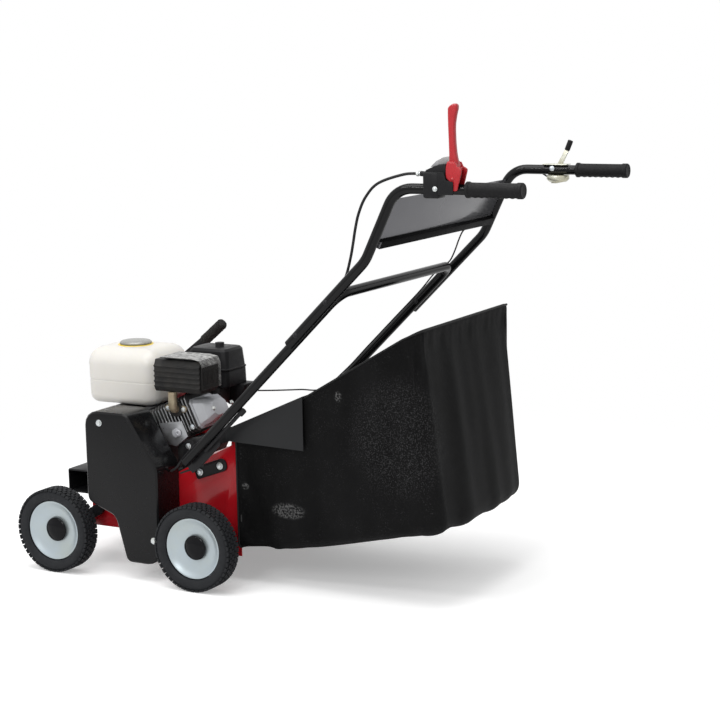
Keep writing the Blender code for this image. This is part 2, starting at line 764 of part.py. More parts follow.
def belt_drive():
    """The engine's shaft end with its pulley, the belt, and the idler that tightens it."""
    spin = empty("crankshaft_spin", (CRANK_X, 0, CRANK_Z), base())
    shaft_radius = 0.0095
    drive = pulley("engine_pulley", ENGINE_GROOVE, 0.0, CRANK_X, CRANK_Z)
    shaft = rod("crankshaft", shaft_radius, (CRANK_X, BLOCK_NEAR_Y - 0.004 - CLEAR, CRANK_Z),
                (CRANK_X, BELT_Y - PULLEY_WIDTH / 2 - 0.004, CRANK_Z))
    join(drive, shaft)
    add_part(drive, STEEL, 0.4, 0.8, spin)
    lift = 0.0008
    belt = plate("drive_belt", [belt_loop(lift + BELT_HEIGHT), belt_loop(lift)], BELT_WIDTH, BELT_Y)
    add_part(belt, RUBBER, 0.8)

    pivot_place = Vector((IDLER_PIVOT_X, IDLER_PIVOT_Z))
    hub = idler_place()
    swing = empty("idler_swing", (IDLER_PIVOT_X, 0, IDLER_PIVOT_Z), base())
    arm_y = BELT_Y + PULLEY_WIDTH / 2 + 0.007 + ARM_SHEET / 2
    pin_radius = 0.005
    arm = as_mesh(plate("idler_arm", [rounded_link(tuple(pivot_place), 0.010, tuple(hub), 0.009),
                                      arc(pivot_place, pin_radius + CLEAR, 0, 2 * math.pi * 11 / 12, 11)],
                        ARM_SHEET, arm_y))
    stud = rod("idler_stud", pin_radius, (hub[0], arm_y, hub[1]),
               (hub[0], BELT_Y - PULLEY_WIDTH / 2 - 0.002, hub[1]), 12)
    join(arm, stud)
    add_part(arm, ZINC, 0.4, 0.8, swing)
    wheel_half = 0.006
    idler = turned("idler_pulley", [
        (pin_radius + CLEAR, wheel_half),
        (IDLER_RADIUS, wheel_half),
        (IDLER_RADIUS, -wheel_half),
        (pin_radius + CLEAR, -wheel_half),
    ], 20, ring=True)
    on_axis(idler, hub[0], BELT_Y, hub[1])
    add_part(idler, BLACK_PLASTIC, 0.5, 0.0, empty("idler_spin", (hub[0], BELT_Y, hub[1]), base()))
    seat = -DECK_HALF - arm_y - ARM_SHEET / 2
    post = turned("idler_post", [
        (0, seat + ARM_SHEET + 0.006),
        (pin_radius, seat + ARM_SHEET + 0.006),
        (pin_radius, seat - CLEAR),
        (0.008, seat - CLEAR),
        (0.008, -0.001),
        (0, -0.001),
    ], 12)
    on_axis(post, IDLER_PIVOT_X, -DECK_HALF, IDLER_PIVOT_Z)
    join(bpy.data.objects["deck"], post)


def idler_place():
    """The idler's centre at rest: swung back from where it would press on the belt's rear run."""
    start = Vector((CRANK_X, CRANK_Z))
    end = Vector((ROTOR_X, ROTOR_Z))
    out = Vector((-(end - start)[1], (end - start)[0])).normalized()
    belt_back = (ENGINE_GROOVE + ROTOR_GROOVE) / 2 + 0.0008 + BELT_HEIGHT
    pressed = (start + end) / 2 + out * (belt_back + IDLER_RADIUS + 2 * CLEAR)
    pivot_place = Vector((IDLER_PIVOT_X, IDLER_PIVOT_Z))
    return pivot_place + Matrix.Rotation(-IDLER_REST_SWING, 2) @ (pressed - pivot_place)


def belt_cover():
    """The black cover over the belt: a dished shell, open towards the deck."""
    top = CRANK_Z + 0.071
    base_z = ROTOR_Z - 0.059
    front = CRANK_X - 0.058
    rear = ROTOR_X + 0.055
    outline = rounded([
        (front, top, 0.034),
        (CRANK_X + 0.060, top, 0.024),
        (rear, CRANK_Z - 0.052, 0.030),
        (rear, base_z, 0.036),
        (ROTOR_X - 0.037, base_z, 0.016),
        (ROTOR_X - 0.066, ROTOR_Z + 0.047, 0.028),
        (front, ROTOR_Z + 0.077, 0.018),
    ], 4)
    bm = bmesh.new()
    inner_y = -DECK_HALF - CLEAR
    edge = 0.004
    face = [bm.verts.new((x, COVER_FACE_Y, z)) for x, z in inset(outline, edge)]
    wall = [bm.verts.new((x, COVER_FACE_Y + edge, z)) for x, z in outline]
    rim = [bm.verts.new((x, inner_y, z)) for x, z in outline]
    bm.faces.new(face)
    count = len(outline)
    for front_row, back_row in ((face, wall), (wall, rim)):
        for i in range(count):
            j = (i + 1) % count
            bm.faces.new((front_row[i], front_row[j], back_row[j], back_row[i]))
    obj = mesh_object("belt_cover", bm, smooth=True)
    shell = obj.modifiers.new("moulding", "SOLIDIFY")
    shell.thickness = COVER_SHEET
    shell.offset = -1.0
    shell.use_even_offset = True
    add_part(obj, BLACK_PLASTIC, 0.45)


def inset(outline, distance):
    """The outline moved in by a distance, corner by corner."""
    turn = 1 if signed_area(outline) > 0 else -1
    moved = []
    for i, point in enumerate(outline):
        along = (Vector(outline[(i + 1) % len(outline)]) - Vector(outline[i - 1])).normalized()
        inward = Vector((-along[1], along[0])) * turn
        moved.append(tuple(Vector(point) + inward * distance))
    return moved


def signed_area(outline):
    """Twice the area of an outline, above zero where it runs anticlockwise."""
    total = 0.0
    for (u, v), (w, t) in zip(outline, outline[1:] + outline[:1]):
        total += u * t - w * v
    return total


def on_cylinder(along, across):
    """A point (x, z) at lengths along and across the tilted cylinder, from the crankshaft."""
    c = math.cos(CYLINDER_TILT)
    s = math.sin(CYLINDER_TILT)
    return (CRANK_X + along * c - across * s, CRANK_Z + along * s + across * c)


def cylinder_ring(along, low, high, near, far, corner):
    """A ring of points round the cylinder, square to its axis, with cut corners."""
    square = [(low + corner, near), (high - corner, near), (high, near + corner), (high, far - corner),
              (high - corner, far), (low + corner, far), (low, far - corner), (low, near + corner)]
    ring = []
    for across, y in square:
        x, z = on_cylinder(along, across)
        ring.append((x, y, z))
    return ring


def engine():
    """A small engine: crankcase, finned cylinder leaning back, tank, silencer, filter and starter."""
    seat = DECK_TOP + SHEET / 2 + CLEAR
    fins_start = 0.058
    case = as_mesh(plate("crankcase", [rounded([
        (CRANK_X - 0.078, seat, 0.003), (CRANK_X + 0.074, seat, 0.003),
        (*on_cylinder(fins_start, -0.056), 0.003), (*on_cylinder(fins_start, 0.019), 0.003),
        (CRANK_X - 0.078, CRANK_Z + 0.042, 0.024)], 3)],
        BLOCK_FAR_Y - BLOCK_NEAR_Y, (BLOCK_NEAR_Y + BLOCK_FAR_Y) / 2))
    foot = box("crankcase_foot", (CRANK_X - 0.092, BLOCK_NEAR_Y - 0.004, seat),
               (CRANK_X + 0.085, BLOCK_FAR_Y + 0.004, seat + 0.013), 0.003)
    join(case, foot)
    boss = rod("crankcase_boss", 0.030, (CRANK_X, BLOCK_NEAR_Y + 0.002, CRANK_Z),
               (CRANK_X, BLOCK_NEAR_Y - 0.004, CRANK_Z), 20)
    join(case, boss)
    for i, x in enumerate((CRANK_X - 0.060, CRANK_X + 0.020)):
        stay = box(f"tank_stay_{i}", (x - 0.010, BLOCK_NEAR_Y + 0.030, CRANK_Z + 0.036),
                   (x + 0.010, BLOCK_FAR_Y - 0.020, TANK_BASE - CLEAR), 0.001)
        join(case, stay)
    plug = rod("oil_filler", 0.011, (CRANK_X - 0.062, BLOCK_NEAR_Y + 0.045, seat + 0.035),
               (CRANK_X - 0.100, BLOCK_NEAR_Y + 0.045, seat + 0.052), 12)
    join(case, plug)
    add_part(case, ALLOY, 0.45, 0.7)
    fins(fins_start + CLEAR)
    tank()
    silencer()
    air_filter()
    starter_side()


def fins(start):
    """The cylinder with its cooling fins, and the rocker cover on its end."""
    low, high, near, far = -0.058, 0.033, -0.166, -0.052
    core = 0.011
    rings = []
    for i in range(FIN_COUNT):
        along = start + i * FIN_PITCH
        fin = (low, high, near, far, 0.008)
        throat = (low + core, high - core, near + core, far - core, 0.006)
        rings += [cylinder_ring(along, *fin), cylinder_ring(along + FIN_SHEET, *fin)]
        if i < FIN_COUNT - 1:
            rings += [cylinder_ring(along + FIN_SHEET, *throat), cylinder_ring(along + FIN_PITCH, *throat)]
    barrel = loft("finned_cylinder", rings)
    cheek = [(0.078, -0.004), (0.141, -0.022), (0.141, -0.060), (0.100, -0.070), (0.078, -0.056)]
    plate_y = near - 0.001
    shield = as_mesh(plate("cylinder_shield", [[on_cylinder(*point) for point in cheek]], 0.008, plate_y))
    join(barrel, shield)
    boss_x, boss_z = on_cylinder(0.114, -0.041)
    boss = rod("shield_boss", 0.010, (boss_x, plate_y, boss_z), (boss_x, plate_y - 0.007, boss_z), 16)
    join(barrel, boss)
    add_part(barrel, ALLOY, 0.5, 0.7)

    end = start + (FIN_COUNT - 1) * FIN_PITCH + FIN_SHEET + CLEAR
    cover = loft("rocker_cover", [
        cylinder_ring(end, low + 0.002, 0.018, near + 0.008, far - 0.008, 0.008),
        cylinder_ring(end + 0.005, low + 0.002, 0.018, near + 0.008, far - 0.008, 0.008),
        cylinder_ring(end + 0.006, low + 0.006, 0.014, near + 0.012, far - 0.012, 0.008),
        cylinder_ring(end + 0.030, low + 0.008, 0.008, near + 0.015, far - 0.015, 0.010),
        cylinder_ring(end + 0.046, low + 0.016, -0.006, near + 0.028, far - 0.028, 0.009),
    ])
    add_part(cover, ALLOY, 0.3, 0.8)


def tank():
    """The moulded fuel tank in two halves that meet in a seam, its filler neck and its cap."""
    centre = (-0.408 + TANK_LENGTH / 2, -0.140 + TANK_WIDTH / 2)
    half_x = TANK_LENGTH / 2
    half_y = TANK_WIDTH / 2
    seam = 0.42
    levels = [
        (0.000, 0.022, 0.020), (0.045, 0.009, 0.022), (0.200, 0.003, 0.024),
        (seam - 0.020, 0.0015, 0.024), (seam - 0.020, 0.000, 0.024), (seam + 0.020, 0.000, 0.024),
        (seam + 0.020, 0.0015, 0.024), (0.740, 0.004, 0.028), (0.900, 0.014, 0.032),
        (0.975, 0.032, 0.034), (1.000, 0.050, 0.030),
    ]
    rings = []
    for share, inset_by, corner in levels:
        rings.append(rounded_ring(half_x - inset_by, half_y - inset_by, corner, centre,
                                  TANK_BASE + TANK_HEIGHT * share, 3))
    body = loft("fuel_tank", rings)
    top = TANK_BASE + TANK_HEIGHT
    cap_x = centre[0] - 0.009
    cap_y = centre[1] + 0.006
    neck = rod("filler_neck", FUEL_CAP_RADIUS - 0.006, (cap_x, cap_y, top - 0.006),
               (cap_x, cap_y, top + 0.001), 20)
    join(body, neck)
    add_part(body, TANK_WHITE, 0.5)
    pivot = empty("fuel_cap_turn", (cap_x, cap_y, top), base())
    cap = turned("fuel_cap", [
        (0, 0.0105),
        (FUEL_CAP_RADIUS * 0.60, 0.010),
        (FUEL_CAP_RADIUS * 0.93, 0.007),
        (FUEL_CAP_RADIUS, 0.004),
        (FUEL_CAP_RADIUS * 0.97, 0.001 + CLEAR),
        (0, 0.001 + CLEAR),
    ], 24)
    cap.location = (cap_x, cap_y, top)
    add_part(cap, STEEL, 0.45, 0.3, pivot)


def silencer():
    """The louvred silencer, the pipe from the exhaust port and the guard round its back."""
    x0, x1 = -0.170, -0.044
    near, far = -0.190, -0.112
    low, high = 0.430, 0.505
    louvres = 5
    step = (high - low - 0.016) / louvres
    section = [(far, low + 0.006), (far - 0.006, low), (near + 0.008, low)]
    for i in range(louvres):
        z = low + 0.008 + i * step
        section += [(near + 0.004, z), (near, z + step * 0.45), (near + 0.004, z + step * 0.6)]
    section += [(near + 0.010, high), (far - 0.010, high), (far, high - 0.010)]
    body = as_mesh(bar("silencer", [section[::-1]], x0, x1))
    add_part(body, BLACK_PAINT, 0.6, 0.3)

    port = on_cylinder(0.139, 0.0107)
    flange_y = -0.166 - CLEAR - 0.0025
    flange = as_mesh(plate("exhaust_pipe", [rounded_link(
        (port[0] - 0.0215, port[1]), 0.008, (port[0] + 0.0215, port[1]), 0.008)], 0.005, flange_y))
    pipe = as_mesh(tube("exhaust_elbow", bent([
        (port[0], flange_y + 0.001, port[1]), (port[0], flange_y - 0.013, port[1]),
        (port[0], flange_y - 0.013, low - CLEAR)], [0.010], 3), 0.0105, 3))
    join(flange, pipe)
    add_part(flange, (0.30, 0.26, 0.19), 0.6, 0.5)

    gap = 0.006
    sheet = 0.0015
    back = x1 + 0.009
    outer = rounded([(x0 + 0.020, high + gap, 0), (back, high + gap, 0.020), (back, low + 0.010, 0)], 5)
    inner = rounded([(x0 + 0.020, high + gap - sheet, 0), (back - sheet, high + gap - sheet, 0.0185),
                     (back - sheet, low + 0.010, 0)], 5)
    guard = as_mesh(plate("silencer_guard", [outer + inner[::-1]], far - near, (near + far) / 2))
    foot = box("guard_foot", (x0 + 0.024, near + 0.020, high - 0.001),
               (x0 + 0.032, far - 0.020, high + gap - 0.0005))
    foot.location.z += 0.001 + CLEAR
    join(guard, foot)
    slots = 5
    pitch = (far - near) / slots
    for i in range(slots):
        y = near + pitch * (i + 0.5)
        slot = box(f"guard_slot_{i}", (x1 + 0.005, y - pitch * 0.30, low + 0.020),
                   (x1 + 0.030, y + pitch * 0.30, high - 0.022))
        cut(guard, slot)
    add_part(guard, STEEL, 0.5, 0.6)


def air_filter():
    """The air filter box, whose lid meets it in a groove, and the carburettor below it."""
    x0, x1 = -0.166, -0.050
    near, far = -0.062, 0.034
    low, split, high = 0.424, 0.462, 0.513
    centre = ((x0 + x1) / 2, (near + far) / 2)
    half_x = (x1 - x0) / 2
    half_y = (far - near) / 2
    rings = [
        rounded_ring(half_x, half_y, 0.012, centre, low, 2),
        rounded_ring(half_x - 0.001, half_y - 0.001, 0.012, centre, split - 0.002, 2),
        rounded_ring(half_x - 0.003, half_y - 0.003, 0.010, centre, split - 0.002, 2),
        rounded_ring(half_x - 0.003, half_y - 0.003, 0.010, centre, split, 2),
        rounded_ring(half_x, half_y, 0.012, centre, split, 2),
        rounded_ring(half_x, half_y, 0.012, centre, split + 0.004, 2),
        rounded_ring(half_x - 0.002, half_y - 0.002, 0.012, centre, split + 0.005, 2),
        rounded_ring(half_x - 0.005, half_y - 0.005, 0.014, centre, high - 0.006, 2),
        rounded_ring(half_x - 0.010, half_y - 0.010, 0.012, centre, high, 2),
    ]
    lid = loft("air_filter", rings)
    knob = rod("filter_knob", 0.011, (centre[0] + 0.010, centre[1], high - 0.002),
               (centre[0] + 0.010, centre[1], high + 0.010), 12)
    join(lid, knob)
    add_part(lid, BLACK_PLASTIC, 0.45)
    carburettor = box("carburettor", (x0 + 0.026, -0.0517, 0.378), (x1 - 0.028, 0.012, low - CLEAR), 0.006, 2)
    bowl = rod("float_bowl", 0.017, (-0.105, -0.016, 0.380), (-0.105, -0.016, 0.358), 16)
    join(carburettor, bowl)
    add_part(carburettor, ALLOY, 0.5, 0.7)


def starter_side():
    """The fan cover on the right of the engine, the recoil starter and its pull grip."""
    near = BLOCK_FAR_Y + 0.004 + CLEAR
    thick = 0.046
    cover = as_mesh(plate("fan_cover", [rounded([
        (CRANK_X - 0.092, CRANK_Z - 0.094, 0.035),
        (CRANK_X + 0.092, CRANK_Z - 0.094, 0.035),
        (CRANK_X + 0.098, CRANK_Z + 0.010, 0.030),
        (CRANK_X + 0.092, CRANK_Z + 0.080, 0.016),
        (CRANK_X + 0.052, CRANK_Z + 0.080, 0.005),
        (CRANK_X + 0.046, TANK_BASE - 0.002, 0.004),
        (CRANK_X - 0.092, TANK_BASE - 0.002, 0.030),
    ], 4)], thick, near + thick / 2))
    add_part(cover, RED_PAINT, 0.4)
    face = near + thick
    recoil = turned("recoil_starter", [
        (0, 0.034), (0.020, 0.034), (0.024, 0.030), (0.052, 0.030), (0.068, 0.022), (0.074, 0.003),
        (0.078, 0.003), (0.078, 0), (0, 0)], 20)
    on_axis(recoil, CRANK_X, face + CLEAR, CRANK_Z, 1)
    slots = 8
    for i in range(slots):
        angle = 2 * math.pi * i / slots
        middle = 0.044
        slot = box(f"starter_slot_{i}", (-0.012, 0.012, -0.005), (0.012, 0.040, 0.005))
        slot.rotation_euler = (0, -angle, 0)
        slot.location = (CRANK_X + middle * math.cos(angle), face + 0.030, CRANK_Z + middle * math.sin(angle))
        cut(recoil, slot)
    slide = Vector((0.022, 0, 0.032)).normalized()
    root = Vector((CRANK_X + 0.040, face + 0.022, CRANK_Z + 0.040))
    mouth = root + slide * 0.040
    join(recoil, rod("rope_horn", 0.010, root, mouth, 12))
    add_part(recoil, BLACK_PLASTIC, 0.4)
    start = mouth + slide * 2 * CLEAR
    stem = rod("starter_grip", 0.007, start, start + slide * 0.014, 12)
    stem_top = start + slide * 0.016
    handle = box("starter_bar", (-0.009, -0.014, -0.007), (0.009, 0.024, 0.007), 0.004, 2)
    handle.rotation_euler = (0, math.atan2(slide.x, slide.z), 0)
    handle.location = stem_top + Vector((0, 0.005, 0))
    join(stem, handle)
    add_part(stem, BLACK_PLASTIC, 0.5, 0.0, empty("starter_pull", tuple(start), base()))


def handle_line():
    """The slope shared by the upper tubes and the legs, as a function from x to z."""
    def height(x):
        return LOWER_BEND_Z + (x - LOWER_BEND_X) * math.tan(HANDLE_SLOPE)
    return height


def handles():
    """The lower frame, bent from one tube, and the two upper tubes bolted outside it."""
    height = handle_line()
    foot = (LEG_FOOT_X, height(LEG_FOOT_X))
    top = (CROSSBAR_X, height(CROSSBAR_X))
    lower = tube("lower_handle", bent([
        (foot[0], -LEG_Y, foot[1]), (top[0], -LEG_Y, top[1]),
        (top[0], LEG_Y, top[1]), (foot[0], LEG_Y, foot[1]),
    ], [0.036, 0.036], 6), TUBE_RADIUS)
    add_part(lower, BLACK_PAINT, 0.3, 0.1)
    for side, word in ((-1, "left"), (1, "right")):
        y = side * HANDLE_Y
        upper = tube(f"upper_handle_{word}", bent([
            (OVERLAP_END_X, y, height(OVERLAP_END_X)), (LOWER_BEND_X, y, LOWER_BEND_Z),
            (UPPER_BEND_X, y, GRIP_Z), (GRIP_END - 0.004, y, GRIP_Z),
        ], [0.090, 0.060], 6), TUBE_RADIUS)
        add_part(upper, BLACK_PAINT, 0.3, 0.1)
        bore = TUBE_RADIUS / math.cos(math.pi / 12) + CLEAR
        length = GRIP_END - GRIP_START
        grip = turned(f"grip_{word}", [
            (0, length),
            (GRIP_RADIUS - 0.002, length),
            (GRIP_RADIUS, length - 0.003),
            (GRIP_RADIUS, length - 0.012),
            (GRIP_RADIUS - 0.0015, length - 0.014),
            (GRIP_RADIUS - 0.0015, 0.010),
            (GRIP_RADIUS + 0.0005, 0.006),
            (GRIP_RADIUS + 0.0005, 0),
            (bore, 0),
            (bore, length - 0.004 + CLEAR),
            (0, length - 0.004 + CLEAR),
        ], 16)
        grip.rotation_euler = (0, math.pi / 2, 0)
        grip.location = (GRIP_START, y, GRIP_Z)
        add_part(grip, RUBBER, 0.8)
        handle_bracket(side, word, foot)
    panel()


def handle_bracket(side, word, foot):
    """The folded plate that bolts to the deck and carries the foot of one handle leg."""
    slope = Vector((math.cos(HANDLE_SLOPE), math.sin(HANDLE_SLOPE)))
    across = Vector((slope[1], -slope[0]))
    start = Vector(foot) - slope * 0.011
    wing = [start - across * 0.008, start + across * 0.026, start + across * 0.030 + slope * 0.030,
            start + across * 0.030 + slope * 0.104, start + across * 0.024 + slope * 0.110,
            start - across * 0.008 + slope * 0.110]
    sheet = 0.004
    wing_y = side * (LEG_Y - TUBE_RADIUS - CLEAR - sheet / 2)
    flange_y = side * (DECK_HALF + CLEAR + sheet / 2)
    obj = as_mesh(plate(f"handle_bracket_{word}", [[tuple(p) for p in wing]], sheet, wing_y))
    tilt = math.radians(20)
    lean = Vector((math.cos(tilt), math.sin(tilt)))
    rise = Vector((-lean[1], lean[0]))
    middle = Vector((-0.014, 0.262))
    half_length = 0.045
    half_height = 0.015
    low_bar = as_mesh(plate(f"bracket_flange_{word}", [rounded([
        (*(middle - lean * half_length - rise * half_height), 0.005),
        (*(middle + lean * half_length - rise * half_height), 0.012),
        (*(middle + lean * half_length + rise * half_height), 0.012),
        (*(middle - lean * half_length + rise * half_height), 0.005)], 3)], sheet, flange_y))
    join(obj, low_bar)
    shelf_start = middle - lean * (half_length - 0.006) + rise * (half_height - sheet)
    shelf_end = middle + lean * (half_length - 0.014) + rise * (half_height - sheet)
    inner = DECK_HALF + CLEAR + 0.001
    outer = LEG_Y - TUBE_RADIUS - CLEAR - 0.001
    shelf = as_mesh(plate(f"bracket_shelf_{word}", [[
        tuple(shelf_start), tuple(shelf_end),
        tuple(shelf_end + rise * sheet), tuple(shelf_start + rise * sheet)]],
        outer - inner, side * (outer + inner) / 2))
    join(obj, shelf)
    add_part(obj, BLACK_PAINT, 0.45, 0.1)


def panel():
    """The sheet between the upper tubes, folded into a stiff channel along its lower edge."""
    run = Vector((UPPER_BEND_X - LOWER_BEND_X, GRIP_Z - LOWER_BEND_Z)).normalized()
    out = Vector((run[1], -run[0]))
    bend = Vector((LOWER_BEND_X, LOWER_BEND_Z))
    low = bend + run * (PANEL_BOTTOM - LOWER_BEND_Z) / run[1]
    high = bend + run * (PANEL_TOP - LOWER_BEND_Z) / run[1]
    sheet = 0.002
    lip = 0.016
    depth = 0.014
    section = [low, high, high + out * sheet, low + out * sheet + run * lip, low + out * depth + run * lip,
               low + out * depth]
    obj = plate("tool_panel", [[tuple(p) for p in section]], 2 * (HANDLE_Y - TUBE_RADIUS - 2 * CLEAR), 0)
    add_part(obj, (0.16, 0.16, 0.17), 0.25, 0.6)


def clutch():
    """The block on the left tube, the red lever that straddles it, and the cable to the idler."""
    y = -HANDLE_Y
    pivot_x, pivot_z = 0.662, 0.9450
    block = box("clutch_block", (0.595, y - 0.018, GRIP_Z - 0.018),
                (0.632, y + 0.018, GRIP_Z + 0.036), 0.005, 2)
    ridge = as_mesh(plate("clutch_ridge", [[(0.602, 0.950), (0.634, 0.950), (0.640, 0.972), (0.630, 0.974),
                                            (0.612, 0.966)]], 0.022, y))
    join(block, ridge)
    eye = arc((pivot_x, pivot_z), 0.009, math.radians(-80), math.radians(95), 6)
    lug = as_mesh(plate("clutch_lug", [[(0.615, GRIP_Z + 0.0125), (0.640, GRIP_Z + 0.0125)] + eye
                                       + [(0.630, pivot_z + 0.009), (0.615, pivot_z + 0.009)]], 0.009, y))
    join(block, lug)
    bore = TUBE_RADIUS / math.cos(math.pi / 12) + CLEAR
    cut(block, rod("clutch_block_bore", bore, (0.57, y, GRIP_Z), (0.70, y, GRIP_Z), 20))
    pin_radius = 0.003
    cut(block, rod("clutch_lug_bore", pin_radius + CLEAR, (pivot_x, y - 0.03, pivot_z),
                   (pivot_x, y + 0.03, pivot_z), 12))
    stop = rod("cable_stop", 0.0055, (0.5955, y, GRIP_Z + 0.030), (0.583, y, GRIP_Z + 0.031), 12)
    join(block, stop)
    add_part(block, BLACK_PLASTIC, 0.4)

    pivot = empty("clutch_lever_pivot", (pivot_x, y, pivot_z), base())
    blade = rounded([
        (pivot_x - 0.012, pivot_z + 0.014, 0), (pivot_x + 0.010, pivot_z + 0.014, 0),
        (pivot_x + 0.004, pivot_z + 0.050, 0.08), (pivot_x + 0.004, pivot_z + 0.150, 0.004),
        (pivot_x - 0.009, pivot_z + 0.150, 0.004), (pivot_x - 0.010, pivot_z + 0.050, 0.08)], 3)
    lever = as_mesh(plate("clutch_lever", [blade], 0.012, y))
    cheek_line = rounded([
        (pivot_x - 0.012, pivot_z + 0.030, 0.004), (pivot_x - 0.015, pivot_z - 0.002, 0.008),
        (pivot_x - 0.002, pivot_z - 0.025, 0.006), (pivot_x + 0.010, pivot_z - 0.022, 0.006),
        (pivot_x + 0.020, pivot_z + 0.002, 0.006), (pivot_x + 0.017, pivot_z + 0.016, 0.005),
        (pivot_x + 0.008, pivot_z + 0.030, 0.004)], 2)
    cheek_in = TUBE_RADIUS + 0.0008
    cheek_out = cheek_in + 0.003
    for side in (-1, 1):
        cheek = as_mesh(plate(f"lever_cheek_{side}", [cheek_line], cheek_out - cheek_in,
                              y + side * (cheek_in + cheek_out) / 2))
        join(lever, cheek)
    web = box("lever_web", (pivot_x - 0.010, y - cheek_in - 0.001, pivot_z + 0.0145),
              (pivot_x + 0.008, y + cheek_in + 0.001, pivot_z + 0.027))
    join(lever, web)
    pin = rod("lever_pin", pin_radius, (pivot_x, y - cheek_out - 0.008, pivot_z),
              (pivot_x, y + cheek_out + 0.002, pivot_z), 12)
    join(lever, pin)
    add_part(lever, (0.45, 0.012, 0.016), 0.35, 0.0, pivot)

    cable = tube("clutch_cable", smooth_line([
        (0.5825, -0.297, 0.954), (0.545, -0.300, 0.9515), (0.488, -0.302, 0.933), (0.458, -0.302, 0.904),
        (0.440, -0.300, 0.870), (0.4285, -0.295, 0.837), (0.418, -0.287, 0.804), (0.404, -0.274, 0.771),
        (0.385, -0.261, 0.731), (0.3650, -0.256, 0.7055),
        (0.3512, -0.2555, 0.6910), (0.3335, -0.2555, 0.6664),
        (0.2994, -0.2560, 0.6297), (0.2285, -0.2565, 0.5593), (0.1575, -0.2565, 0.4888),
        (0.090, -0.2555, 0.420), (0.052, -0.2490, 0.386), (0.022, -0.2370, 0.366),
        (-0.008, -0.2210, 0.347), (-0.040, -0.213, 0.321), (-0.075, -0.218, 0.285), (-0.088, -0.226, 0.264),
        (-0.1028, -0.230, 0.254),
    ], 0.028), 0.003, 2)
    add_part(cable, RUBBER, 0.5)


def throttle():
    """The throttle clamp on the right tube, its lever with a knob, and the cable to the engine."""
    y = HANDLE_Y
    x, z = 0.640, GRIP_Z - TUBE_RADIUS - CLEAR
    cup_radius = 0.026
    mount = turned("throttle_mount", [
        (0, -0.001), (cup_radius, -0.001), (cup_radius, -0.010),
        (cup_radius - 0.006, -0.016), (0, -0.016)], 20)
    mount.location = (x, y, z)
    back = box("throttle_strap", (x - 0.030, y + TUBE_RADIUS + 0.001, z - 0.006),
               (x + 0.010, y + TUBE_RADIUS + 0.003, GRIP_Z + TUBE_RADIUS + 0.0025))
    top = box("throttle_saddle", (x - 0.034, y - 0.012, GRIP_Z + TUBE_RADIUS + CLEAR),
              (x + 0.026, y + TUBE_RADIUS + 0.003, GRIP_Z + TUBE_RADIUS + 0.0025))
    join(mount, back)
    join(mount, top)
    add_part(mount, ZINC, 0.4, 0.8)
    pivot = empty("throttle_pivot", (x, y, z), base())
    lever_low = z - 0.016 - CLEAR - 0.003
    out = 0.030
    lever = as_mesh(plate("throttle_lever", [[
        (x - 0.014, lever_low), (x + 0.002, lever_low), (x - 0.001, z + 0.020), (x + 0.015, z + 0.052),
        (x + 0.006, z + 0.056), (x - 0.013, z + 0.022)]], 0.003, y + out - 0.0015))
    foot = box("throttle_foot", (x - 0.013, y - 0.010, lever_low),
               (x + 0.001, y + out - 0.001, lever_low + 0.003))
    join(lever, foot)
    add_part(lever, ZINC, 0.35, 0.8, pivot)
    lean = Vector((0.38, 0, 0.92)).normalized()
    start = Vector((x + 0.0105, y + out - 0.0015, z + 0.054)) + lean * 0.0006
    knob = rod("throttle_knob", 0.0065, start, start + lean * 0.024, 12)
    add_part(knob, BLACK_PLASTIC, 0.5, 0.0, pivot)
    cable = tube("throttle_cable", smooth_line([
        (0.6105, 0.3145, 0.9030), (0.590, 0.3140, 0.914), (0.558, 0.3130, 0.9205), (0.530, 0.3128, 0.917),
        (0.508, 0.3115, 0.897), (0.494, 0.3080, 0.876), (0.4835, 0.2960, 0.872), (0.474, 0.2820, 0.860),
        (0.463, 0.2700, 0.836), (0.450, 0.2600, 0.808), (0.433, 0.2550, 0.792), (0.4165, 0.2550, 0.778),
        (0.404, 0.2590, 0.757), (0.394, 0.2640, 0.737), (0.382, 0.2700, 0.7165), (0.3705, 0.2740, 0.702),
        (0.3516, 0.2710, 0.6907), (0.3313, 0.2640, 0.6685),
        (0.2994, 0.2575, 0.6297), (0.2285, 0.2570, 0.5593),
        (0.1575, 0.2570, 0.4888), (0.0937, 0.2570, 0.4253),
        (0.030, 0.2520, 0.374), (-0.010, 0.210, 0.376), (-0.040, 0.140, 0.384), (-0.060, 0.070, 0.394),
        (-0.078, 0.030, 0.398), (-0.0775, 0.013, 0.400),
    ], 0.032), 0.0018, 2)
    add_part(cable, RUBBER, 0.5)


